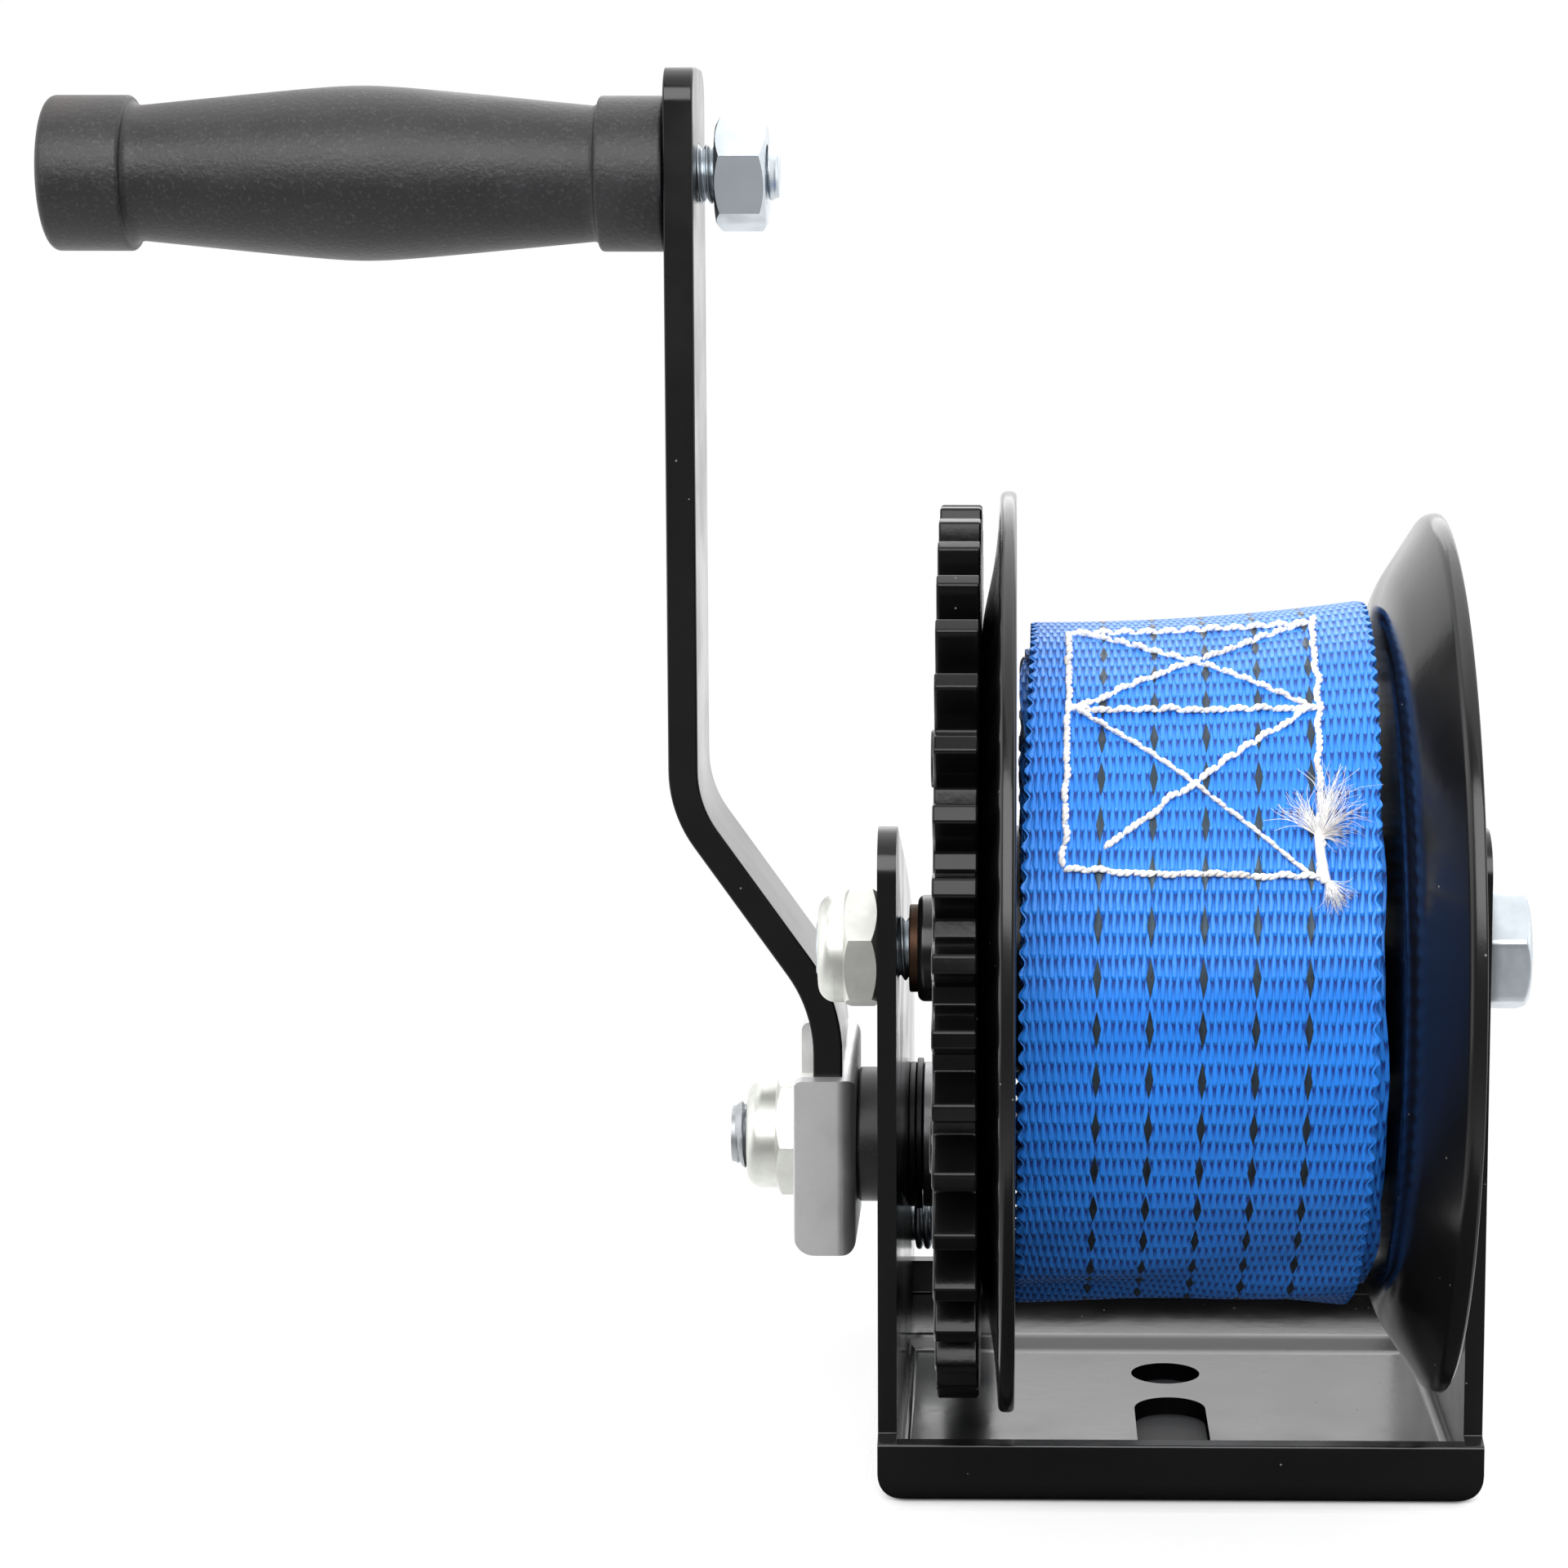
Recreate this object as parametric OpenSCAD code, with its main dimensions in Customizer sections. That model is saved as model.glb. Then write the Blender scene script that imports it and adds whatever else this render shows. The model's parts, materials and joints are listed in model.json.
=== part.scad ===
// Boat trailer winch: a strap drum in a pressed steel frame, turned by a crank through one pair of spur gears.
// X runs along the axles, Y points from the strap side to the back, Z is up.
// The origin is the round mounting hole, on the underside of the base.

/* [Frame] */
// Outside width over the two side walls
frame_w = 93; // [91:0.5:96]
// Thickness of the pressed steel sheet
sheet_t = 2.9; // [2.5:0.1:3.2]
// Distance of the front lip's face in front of the mounting hole
front_reach = 58; // [57:0.5:59]
// Distance of the rear lip's face behind the mounting hole
rear_reach = 45; // [44.5:0.5:46]
// Height of the front lip
front_lip_h = 9.5; // [8:0.1:10.5]
// Height of the rear lip
rear_lip_h = 10.4; // [9:0.1:10.5]
// Height of the shallow step in the base, behind the round hole
step_h = 1.5; // [0.5:0.1:2]
// Height at which the side walls' front and top edges would meet
wall_h = 106.2; // [104:0.1:108]
// Distance of the side walls' rear edge behind the mounting hole
wall_reach = 52; // [52:0.5:60]
// Radius of the round mounting hole
hole_r = 5.75; // [5.2:0.05:6.5]
// Width of the mounting slot
slot_w = 11.6; // [10.5:0.1:13]
// Length of the mounting slot, end to end
slot_l = 32; // [24:1:34]
// Distance of the slot's centre in front of the round hole
slot_y = 29.1; // [27:0.1:31]

/* [Axles] */
// Height of the drum axle above the underside
axle_z = 84.4; // [84:0.1:86]
// Distance of the drum axle in front of the mounting hole
axle_y = 45; // [44:0.5:46]
// How far the drive shaft sits below the drum axle
drive_drop = 46.2; // [45:0.1:47]
// Radius of the drive shaft
shaft_r = 8; // [7.5:0.1:8]
// Radial clearance of every running fit
running_gap = 0.05; // [0.02:0.01:0.1]

/* [Gears] */
// Gear module
gear_m = 3.25; // [3.25:0.01:3.25]
// Teeth on the drum gear
gear_teeth = 41; // [41:1:41]
// Teeth on the pinion
pinion_teeth = 10; // [10:1:10]
// Pressure angle
pressure = 20; // [20:0.5:20]
// Profile shift, added to the pinion and taken from the drum gear
shift = 0.5; // [0.45:0.01:0.5]
// How much each tooth is thinned at its pitch circle
thinning = 0.14; // [0.1:0.01:0.3]
// Direction of one gear tooth, seen from +X and counted from +Y
gear_phase = 100.6; // [96:0.1:104]

/* [Drum] */
// Radius of the left flange
left_flange_r = 70.3; // [69:0.1:71]
// Radius of the right flange
right_flange_r = 67.3; // [66:0.1:69]
// Thickness of the flange sheet
flange_t = 2.5; // [2:0.1:2.6]
// Outside radius of the hub tube under the strap
hub_r = 19; // [18:0.5:22]
// Outside radius of the tube around the axle
axle_tube_r = 8.2; // [8:0.1:8.4]
// Outside radius of the bronze bushings
bronze_r = 6.75; // [6.4:0.05:6.8]

/* [Strap] */
// Width of the strap
strap_w = 50; // [48:0.5:50]
// Thickness of the strap's webbing
strap_t = 1.3; // [1.1:0.1:1.5]
// Outside radius of the wound strap
roll_r = 48.5; // [46:0.1:50]
// Outside radius of the sewn end that lies on it
sewn_r = 53.3; // [52:0.1:54]
// Angle that the sewn outer end covers
sewn_sweep = 304; // [280:1:310]

/* [Crank] */
// Distance from the drive shaft to the grip's axis
crank_r = 165; // [150:1:200]
// Width of the crank's flat bar
bar_w = 25; // [25:0.5:25]
// Thickness of the crank's flat bar
bar_t = 5; // [5:0.1:5]
// How far the upper bar sits outside the lower bar
bar_offset = 24.2; // [22:0.1:28]
// Length of the grip
grip_l = 103.7; // [100:0.1:115]
// Radius of the grip's collars
grip_collar_r = 13; // [12.5:0.1:13.5]
// Radius of the grip's thickest point
grip_belly_r = 14.6; // [14:0.1:15.5]
// Radius of the grip's necks
grip_neck_r = 11.3; // [11:0.1:12]

/* [Pawl] */
// Radius of the pawl's pivot pin
pawl_pin_r = 3.5; // [3:0.1:3.6]
// Thickness of the pawl
pawl_t = 5; // [4:0.1:5.5]
// Radius of the pawl spring's wire
wire_r = 0.6; // [0.4:0.05:0.6]

/* [Hidden] */
$fn = 96;

// Side walls
wall_out = frame_w / 2;
wall_in = wall_out - sheet_t;
bend_out = 4.8;
bend_in = bend_out - sheet_t;
lip_bend_out = 3.3;
lip_bend_in = lip_bend_out - sheet_t;
wall_foot_z = 8;
step_y = 12;
step_run = 5;
wall_front = front_reach - 3;
bushing_hole_r = 10;

// Axes: the drum axle, the drive shaft, the grip and the pawl's pivot, as [Y, Z]
centre_distance = gear_m * (gear_teeth + pinion_teeth) / 2;
drive_run = sqrt(centre_distance * centre_distance - drive_drop * drive_drop);
axle = [-axle_y, axle_z];
drive = [drive_run - axle_y, axle_z - drive_drop];
handle = [drive[0], drive[1] + crank_r];
pawl_axis = [43, 17.5];

// Gears
gear_pitch_r = gear_m * gear_teeth / 2;
pinion_pitch_r = gear_m * pinion_teeth / 2;
gear_tip_r = gear_pitch_r + gear_m * (1 - shift);
gear_root_r = gear_pitch_r - gear_m * (1.25 + shift);
pinion_tip_r = pinion_pitch_r + gear_m * (1 + shift) - 0.35;
pinion_root_r = pinion_pitch_r - gear_m * (1.25 - shift);
centre_line = atan2(-drive_drop, drive_run);
pinion_phase = centre_line + 180 + 180 / pinion_teeth - (gear_phase - centre_line) * gear_teeth / pinion_teeth;
gear_left = -37.1;
gear_right = -30.8;
pinion_left = -37.7;
pinion_right = -29.5;

// Drum, along X
left_flange_x = gear_right;
left_flange_rim = -27.9;
right_flange_x = 29;
right_flange_rim = 36.8;
hub_wall = 3;
axle_tube_half = 40.5;
bronze_half = 41.8;
bronze_l = 16;
bolt_r = 5;
rivet_circle_r = 40;
rivet_phase = 35;
keeper_r = 2.5;
keeper_circle_r = 12.1;
slot_angle = 40;

// Strap, along X
strap_left = -24;
strap_mid = strap_left + strap_w / 2;
sewn_start = 46;

// Drive shaft and crank, along X
web_right = -52.6;
bracket_t = 2.2;
web_left = web_right - bracket_t;
bracket_edge = -63.1;
bracket_half = bar_w / 2 + 0.2 + bracket_t;
bracket_up = 12.6;
bracket_rise = 4.7;
bracket_down = 17.7;
bar_low_right = web_left;
bar_low_left = bar_low_right - bar_t;
bar_up_right = bar_low_right - bar_offset;
bar_up_left = bar_up_right - bar_t;
square_half = 5.5;
thread_r = 6;
crank_nut_h = 11.9;
shaft_end = -74.4;
bushing_flange_r = 12.5;
bushing_flange_t = 1.2;
clip_t = 1;
clip_room = 1.2;
clip_groove_r = 6.8;
clip_r = 13.2;
collar_r = 11.6;
clip_x = wall_in - bushing_flange_t - clip_room;

// Grip, along X
grip_right = bar_up_left - 0.3;
grip_left = grip_right - grip_l;
grip_mid = grip_left + 0.51 * grip_l;
collar_l = 14;
right_collar_l = 11;
counterbore_r = 10.6;
counterbore_l = 11;
washer_t = 2;
handle_nut_h = 8.5;
handle_nut_gap = 3;
handle_end = -65.5;

// Fasteners
hex_17 = 17;
hex_19 = 19;
head_h = 6.4;
axle_nut_h = 9.3;

// Pawl, along X
pawl_left = -36;
pawl_head_t = 2;
pawl_boss_r = 6.4;
pawl_reach = 25.6;

// An arc as a list of points
function arc(c, r, a0, a1, n) = [for (i = [0:n]) c + r * [cos(a0 + (a1 - a0) * i / n), sin(a0 + (a1 - a0) * i / n)]];
function unit(v) = v / norm(v);

// The points that round one corner of an outline: b is the corner between a and c, r its radius
function corner(a, b, c, r, n) =
    r == 0 ? [b] :
    let (
        u = unit(a - b),
        v = unit(c - b),
        half = acos(u * v) / 2,
        centre = b + unit(u + v) * r / sin(half),
        p = b + u * r / tan(half) - centre,
        q = b + v * r / tan(half) - centre,
        a0 = atan2(p[1], p[0]),
        turn = atan2(p[0] * q[1] - p[1] * q[0], p * q)
    )
    arc(centre, r, a0, a0 + turn, n);

// An outline from corners given as [x, y, radius]
function rounded(pts, n = 8) =
    let (k = len(pts))
    [for (i = [0:k - 1])
        let (a = pts[(i + k - 1) % k], b = pts[i], c = pts[(i + 1) % k])
        each corner([a[0], a[1]], [b[0], b[1]], [c[0], c[1]], b[2], n)];

// Involute spur gear outline
function involute(a) = tan(a) * 180 / PI - a;
function half_tooth(r, pitch_r, thickness) =
    let (base_r = pitch_r * cos(pressure), a = acos(min(1, base_r / r)))
    thickness * 90 / (PI * pitch_r) + involute(pressure) - involute(a);
function tooth(pitch_r, root_r, tip_r, thickness, steps) =
    let (
        start_r = max(root_r, pitch_r * cos(pressure)),
        radii = [for (i = [0:steps]) start_r + (tip_r - start_r) * i / steps],
        foot = half_tooth(start_r, pitch_r, thickness)
    )
    concat(
        [[root_r, -foot - 0.6]],
        [for (r = radii) [r, -half_tooth(r, pitch_r, thickness)]],
        [for (i = [steps:-1:0]) [radii[i], half_tooth(radii[i], pitch_r, thickness)]],
        [[root_r, foot + 0.6]]
    );
module spur(teeth, pitch_r, root_r, tip_r, thickness, phase) {
    polar = tooth(pitch_r, root_r, tip_r, thickness, 6);
    polygon([for (k = [0:teeth - 1]) each
        [for (p = polar) p[0] * [cos(p[1] + phase + 360 * k / teeth), sin(p[1] + phase + 360 * k / teeth)]]]);
}

// Placement: an axis given as [Y, Z], and shapes drawn in the Y-Z plane and swept along X
module at(axis) translate([0, axis[0], axis[1]]) children();
module along_x(x0, x1) translate([x0, 0, 0]) rotate([90, 0, 90]) linear_extrude(x1 - x0) children();
module rod(x0, x1, r) translate([x0, 0, 0]) rotate([0, 90, 0]) cylinder(h = x1 - x0, r = r);
module tube(x0, x1, r_out, r_in) along_x(x0, x1) difference() {
    circle(r_out);
    circle(r_in);
}
module turned() rotate([0, 90, 0]) rotate_extrude() children();
module hexagon(af, turn) rotate(turn) circle(r = af / sqrt(3), $fn = 6);

// A hexagon prism with its corners turned off at 30 degrees at either end
module hex_block(x0, x1, af, turn, left_chamfer, right_chamfer) {
    corner_r = af / sqrt(3);
    drop = (corner_r - af / 2 * 0.97) * tan(30);
    left = left_chamfer ? drop : 0;
    right = right_chamfer ? drop : 0;
    intersection() {
        along_x(x0, x1) hexagon(af, turn);
        turned() polygon([
            [0, x0], [left > 0 ? af / 2 * 0.97 : corner_r + 1, x0], [corner_r + (left > 0 ? 0 : 1), x0 + left],
            [corner_r + (right > 0 ? 0 : 1), x1 - right], [right > 0 ? af / 2 * 0.97 : corner_r + 1, x1], [0, x1]
        ]);
    }
}

// A lock nut: a hexagon with a round crown that holds a nylon ring. Its seat is at x_seat and it points to -X
module lock_nut(x_seat, h, af, bolt_radius, turn) {
    hex_h = 0.57 * h;
    crown_r = af / 2 * 0.98;
    ring_x = x_seat - h + 0.7;
    difference() {
        union() {
            hex_block(x_seat - hex_h, x_seat, af, turn, true, true);
            turned() polygon(concat(
                [[0, x_seat - hex_h + 0.5], [crown_r, x_seat - hex_h + 0.5]],
                arc([crown_r - 2.6, x_seat - h + 2.6], 2.6, 0, -90, 8),
                [[0, x_seat - h]]
            ));
        }
        rod(x_seat - h - 1, x_seat + 1, bolt_radius);
        rod(ring_x, ring_x + 0.2 * h, bolt_radius + 1.1);
    }
}
module nut_insert(x_seat, h, bolt_radius) tube(x_seat - h + 0.7, x_seat - 0.8 * h + 0.7, bolt_radius + 1.1, bolt_radius);

// The pan-shaped frame: side view outline, front view outline, and the space between the walls
module frame_side() polygon(rounded([
    [-front_reach, 0, lip_bend_out],
    [-front_reach, front_lip_h, 0.6],
    [-wall_front, front_lip_h + 0.8, 0.3],
    [-wall_front, wall_h, 7],
    [4, 88.4, 30],
    [36, 76, 16],
    [wall_reach, 58, 12],
    [wall_reach, wall_foot_z, 4],
    [rear_reach, wall_foot_z, 1.5],
    [rear_reach, step_h, lip_bend_out],
    [step_y + step_run, step_h, 8],
    [step_y, 0, 8]
]));
module frame_front() polygon(rounded([
    [-wall_out, 0, bend_out],
    [wall_out, 0, bend_out],
    [wall_out, wall_h + 1, 0],
    [-wall_out, wall_h + 1, 0]
]));
module frame_cavity() {
    depth_front = front_reach - sheet_t;
    depth_rear = rear_reach - sheet_t;
    intersection() {
        rotate([90, 0, 0]) translate([0, 0, -depth_rear]) linear_extrude(depth_front + depth_rear)
            polygon(rounded([
                [-wall_in, sheet_t, bend_in],
                [wall_in, sheet_t, bend_in],
                [wall_in, wall_h + 2, 0],
                [-wall_in, wall_h + 2, 0]
            ]));
        along_x(-wall_in - 1, wall_in + 1) polygon(rounded([
            [-depth_front, sheet_t, lip_bend_in],
            [step_y, sheet_t, 8],
            [step_y + step_run, sheet_t + step_h, 8],
            [depth_rear, sheet_t + step_h, lip_bend_in],
            [depth_rear, wall_h + 2, 0],
            [-depth_front, wall_h + 2, 0]
        ], 5));
    }
}
module frame() color("#141416") difference() {
    intersection() {
        along_x(-wall_out, wall_out) frame_side();
        rotate([90, 0, 0]) translate([0, 0, -wall_reach - 1]) linear_extrude(front_reach + wall_reach + 2)
            frame_front();
    }
    frame_cavity();
    translate([-wall_in, -front_reach - 1, front_lip_h]) cube([2 * wall_in, sheet_t + 2, wall_h]);
    translate([-wall_in, rear_reach - sheet_t - 1, rear_lip_h]) cube([2 * wall_in, wall_reach, wall_h]);
    translate([-wall_in, rear_reach, -1]) cube([2 * wall_in, wall_reach, wall_h]);
    at(axle) rod(-wall_out - 1, wall_out + 1, bolt_r);
    at(drive) rod(-wall_out - 1, wall_out + 1, bushing_hole_r);
    at(pawl_axis) rod(-wall_out - 1, 0, pawl_pin_r);
    translate([0, 0, -1]) cylinder(h = sheet_t + 2, r = hole_r);
    translate([0, -slot_y, -1]) for (s = [-1, 1]) translate([0, s * (slot_l - slot_w) / 2, 0])
        cylinder(h = sheet_t + 2, r = slot_w / 2);
    translate([-slot_w / 2, -slot_y - (slot_l - slot_w) / 2, -1]) cube([slot_w, slot_l - slot_w, sheet_t + 2]);
}

// Drum axle: bolt, lock nut and its nylon ring
module axle_bolt() color("#c3c8cc") at(axle) {
    hex_block(wall_out, wall_out + head_h, hex_17, 42.5, false, true);
    rod(-wall_out - axle_nut_h - 0.3, wall_out + 0.1, bolt_r);
}
module axle_nut() color("#c8c8bc") at(axle) lock_nut(-wall_out, axle_nut_h, hex_17, bolt_r, 42.5);
module axle_nut_insert() color("#d8d8c8") at(axle) nut_insert(-wall_out, axle_nut_h, bolt_r);

// Flanged plastic bushings that carry the drive shaft in the side walls
module shaft_bushing() {
    tube(wall_in, wall_out, bushing_hole_r, shaft_r + running_gap);
    tube(wall_in - bushing_flange_t, wall_in, bushing_flange_r, shaft_r + running_gap);
}
module left_shaft_bushing() color("#1c1c1e") at(drive) mirror([1, 0, 0]) shaft_bushing();
module right_shaft_bushing() color("#1c1c1e") at(drive) shaft_bushing();

// Pivot pin of the pawl, riveted flush into the left wall, and the torsion spring around it
module pawl_pivot_pin() color("#b9bec2") at(pawl_axis) {
    rod(-wall_out, pawl_left + pawl_t + 0.2, pawl_pin_r);
    rod(pawl_left + pawl_t + 0.2, pawl_left + pawl_t + 0.2 + pawl_head_t, pawl_pin_r + 2);
}
spring_turns = 3.25;
spring_r = pawl_pin_r + wire_r + 0.35;
spring_left = -wall_in + 0.9;
spring_pitch = 1.45;
spring_steps = 20;
spring_coil = [for (i = [0:spring_turns * spring_steps])
    let (a = 180 + 360 * i / spring_steps)
    [spring_left + spring_pitch * i / spring_steps, spring_r * cos(a), spring_r * sin(a)]];
spring_path = concat([[spring_left, -spring_r, 13], [spring_left, -spring_r, 6]], spring_coil, [
    [spring_left + spring_pitch * spring_turns + 0.3, 6, -spring_r - 0.2],
    [spring_left + spring_pitch * spring_turns + 0.5, 8.5, -spring_r - 0.2]
]);
module wire(path, r, sides) {
    last = len(path) - 1;
    points = [for (i = [0:last]) let (
        t = unit(path[min(i + 1, last)] - path[max(i - 1, 0)]),
        n = unit(cross(t, [1, 0, 0])),
        b = cross(t, n)
    ) for (k = [0:sides - 1]) path[i] + r * (cos(360 * k / sides) * n + sin(360 * k / sides) * b)];
    walls = [for (i = [0:last - 1]) for (k = [0:sides - 1])
        [i * sides + k, i * sides + (k + 1) % sides, (i + 1) * sides + (k + 1) % sides, (i + 1) * sides + k]];
    start = [for (k = [sides - 1:-1:0]) k];
    end = [for (k = [0:sides - 1]) last * sides + k];
    polyhedron(points, concat(walls, [start, end]));
}
module pawl_spring() color("#c3c8cc") at(pawl_axis) wire(spring_path, wire_r, 8);

// Drum: gear, flanges, hub, axle tube, bushings and rivets
module drum_gear() color("#141416") at(axle) along_x(gear_left, gear_right) difference() {
    spur(gear_teeth, gear_pitch_r, gear_root_r, gear_tip_r,
        gear_m * (PI / 2 - 2 * shift * tan(pressure)) - thinning, gear_phase);
    circle(axle_tube_r);
    for (k = [0:3]) rotate(rivet_phase + 180 + 90 * k) translate([rivet_circle_r, 0]) circle(3);
}
module left_flange() color("#161618") at(axle) difference() {
    turned() polygon(concat(
        [[axle_tube_r, left_flange_x], [50, left_flange_x], [60.5, left_flange_rim - 0.8]],
        arc([left_flange_r - 1.2, left_flange_rim + 1.25], 1.25, -80, 80, 8),
        [[59.5, left_flange_rim + 1.6], [49.5, left_flange_x + flange_t], [axle_tube_r, left_flange_x + flange_t]]
    ));
    for (k = [0:3]) rotate([rivet_phase + 180 + 90 * k, 0, 0]) translate([0, rivet_circle_r, 0])
        rod(left_flange_x - 1, left_flange_x + flange_t + 1, 3);
}
module right_flange() color("#161618") at(axle) turned() polygon(concat(
    [[axle_tube_r, right_flange_x], [53, right_flange_x], [57, right_flange_x + 1.4]],
    arc([right_flange_r - 1.3, right_flange_rim + 1.2], 1.3, -58, 122, 8),
    [[55.6, right_flange_x + 3.8], [52, right_flange_x + flange_t], [axle_tube_r, right_flange_x + flange_t]]
));
module drum_hub() color("#1a1a1c") at(axle) difference() {
    tube(left_flange_x + flange_t, right_flange_x, hub_r, hub_r - hub_wall);
    rotate([slot_angle, 0, 0]) translate([strap_left - 0.5, hub_r - hub_wall - 2, -2.5])
        cube([strap_w + 1, hub_wall + 4, 5]);
}
module axle_tube() color("#141416") at(axle) turned() polygon(rounded([
    [bronze_r, -axle_tube_half, 0],
    [axle_tube_r, -axle_tube_half, 1.1],
    [axle_tube_r, axle_tube_half, 1.1],
    [bronze_r, axle_tube_half, 0]
], 5));
module left_bronze_bushing() color("#5b4433") at(axle)
    tube(-bronze_half, bronze_l - bronze_half, bronze_r, bolt_r + running_gap);
module right_bronze_bushing() color("#5b4433") at(axle)
    tube(bronze_half - bronze_l, bronze_half, bronze_r, bolt_r + running_gap);
module gear_rivets() color("#141416") at(axle) for (k = [0:3])
    rotate([rivet_phase + 180 + 90 * k, 0, 0]) translate([0, rivet_circle_r, 0]) {
        rod(gear_left, left_flange_x + flange_t, 3);
        rod(gear_left - 0.9, gear_left, 4.3);
        rod(left_flange_x + flange_t, left_flange_x + flange_t + 0.9, 4.3);
    }
module strap_keeper_pin() color("#a9adb0") at(axle) rotate([slot_angle, 0, 0]) translate([0, keeper_circle_r, 0])
    rod(left_flange_x + flange_t, right_flange_x, keeper_r);

// Strap: the wound roll with its inner end looped on the keeper pin, and the sewn outer end
module strap_roll() color("#2f74d0") at(axle) along_x(strap_left, strap_left + strap_w) {
    difference() {
        circle(roll_r);
        circle(hub_r);
    }
    rotate(slot_angle) difference() {
        union() {
            translate([keeper_circle_r, 0]) circle(keeper_r + strap_t);
            translate([keeper_circle_r, -strap_t]) square([hub_r - keeper_circle_r + 1, 2 * strap_t]);
        }
        translate([keeper_circle_r, 0]) circle(keeper_r);
    }
}
module strap_sewn_end() color("#2f74d0") at(axle) along_x(strap_left + 0.3, strap_left + strap_w + 0.6)
    polygon(concat(
        arc([0, 0], sewn_r, sewn_start, sewn_start + sewn_sweep, 60),
        arc([0, 0], roll_r + 0.1, sewn_start + sewn_sweep, sewn_start, 60)
    ));

// Drive shaft with its pinion, clips and collar
module drive_shaft() color("#8f9396") at(drive) difference() {
    union() {
        rod(web_right, wall_out - 0.1, shaft_r);
        along_x(bar_low_left + 0.4, web_right) square(2 * square_half, center = true);
        rod(shaft_end, bar_low_left + 0.4, thread_r);
    }
    for (x = [-clip_x - clip_room, clip_x]) tube(x, x + clip_room, shaft_r + 1, clip_groove_r);
}
module pinion() color("#2a2a2c") at(drive) {
    tube(-clip_x, pinion_left, bushing_flange_r, shaft_r);
    along_x(pinion_left, pinion_right) difference() {
        spur(pinion_teeth, pinion_pitch_r, pinion_root_r, pinion_tip_r,
            gear_m * (PI / 2 + 2 * shift * tan(pressure)) - thinning, pinion_phase);
        circle(shaft_r);
    }
}
module shaft_clip(x) at(drive) along_x(x, x + clip_t) difference() {
    circle(clip_r);
    circle(clip_groove_r);
    translate([-clip_groove_r * 0.92, -clip_r - 1]) square([clip_groove_r * 1.84, clip_r + 1]);
    for (a = [15, 165, 90]) rotate(a) translate([clip_groove_r + 1.2, 0]) circle(1.9);
}
module left_shaft_clip() color("#3a3a3c") shaft_clip(-clip_x - clip_room + 0.1);
module right_shaft_clip() color("#3a3a3c") shaft_clip(clip_x + 0.1);
module spacer_collar() color("#1c1c1e") at(drive) turned() polygon(rounded([
    [shaft_r, web_right, 0],
    [collar_r, web_right, 0.8],
    [collar_r, -wall_out - 0.2, 0.8],
    [shaft_r, -wall_out - 0.2, 0]
], 5));

// Crank: channel bracket whose top slopes up to the back, flat bar with two bends, lock nut
module across_flanges(outline) rotate([90, 0, 0]) translate([0, 0, -bracket_half - 1])
    linear_extrude(2 * bracket_half + 2) polygon(rounded(outline));
module crank_bracket() color("#c6cbce") at(drive) difference() {
    intersection() {
        translate([0, 0, -bracket_down]) linear_extrude(bracket_up + bracket_rise + bracket_down) difference() {
            polygon(rounded([
                [bracket_edge, -bracket_half, 0.4],
                [web_right, -bracket_half, 3.2],
                [web_right, bracket_half, 3.2],
                [bracket_edge, bracket_half, 0.4]
            ]));
            polygon(rounded([
                [bracket_edge - 1, bracket_t - bracket_half, 0],
                [web_left, bracket_t - bracket_half, 0.15],
                [web_left, bracket_half - bracket_t, 0.15],
                [bracket_edge - 1, bracket_half - bracket_t, 0]
            ]));
        }
        across_flanges([
            [bracket_edge, -bracket_down, 3.5],
            [web_right + 0.01, -bracket_down, 2],
            [web_right + 0.01, 2 * bracket_up, 0],
            [bracket_edge, 2 * bracket_up, 0]
        ]);
        multmatrix([[1, 0, 0, 0], [0, 1, 0, 0], [0, bracket_rise / (2 * bracket_half), 1, bracket_rise / 2]])
            across_flanges([
                [bracket_edge, -2 * bracket_down, 0],
                [web_right + 0.01, -2 * bracket_down, 0],
                [web_right + 0.01, bracket_up, 2],
                [bracket_edge, bracket_up, 1.5]
            ]);
    }
    along_x(web_left - 1, web_right + 1) square(2 * square_half, center = true);
}
bend_top = 59;
bend_low = bend_top - bar_offset / tan(35.5);
bar_side = (bar_t / 2) * tan(35.5 / 2);
module crank_arm() color("#161618") at(drive) difference() {
    intersection() {
        rotate([90, 0, 0]) translate([0, 0, -bar_w / 2]) linear_extrude(bar_w) polygon(rounded([
            [bar_low_left, 1.5 - bracket_down, 0],
            [bar_low_right, 1.5 - bracket_down, 0],
            [bar_low_right, bend_low + bar_side, 28.5],
            [bar_up_right, bend_top + bar_side, 17.5],
            [bar_up_right, crank_r + 17.6, 0],
            [bar_up_left, crank_r + 17.6, 0],
            [bar_up_left, bend_top - bar_side, 22.5],
            [bar_low_left, bend_low - bar_side, 23.5]
        ], 10));
        along_x(bar_up_left - 1, bar_low_right + 1) polygon(rounded([
            [-bar_w / 2, 1.5 - bracket_down, 2],
            [bar_w / 2, 1.5 - bracket_down, 2],
            [bar_w / 2, crank_r + 17.6, 6],
            [-bar_w / 2, crank_r + 17.6, 6]
        ]));
    }
    along_x(bar_low_left - 1, bar_low_right + 1) square(2 * square_half, center = true);
    translate([0, 0, crank_r]) rod(bar_up_left - 1, bar_up_right + 1, bolt_r);
}
module crank_nut() color("#c8c8bc") at(drive) lock_nut(bar_low_left, crank_nut_h, hex_19, thread_r, 0);
module crank_nut_insert() color("#d8d8c8") at(drive) nut_insert(bar_low_left, crank_nut_h, thread_r);

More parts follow.
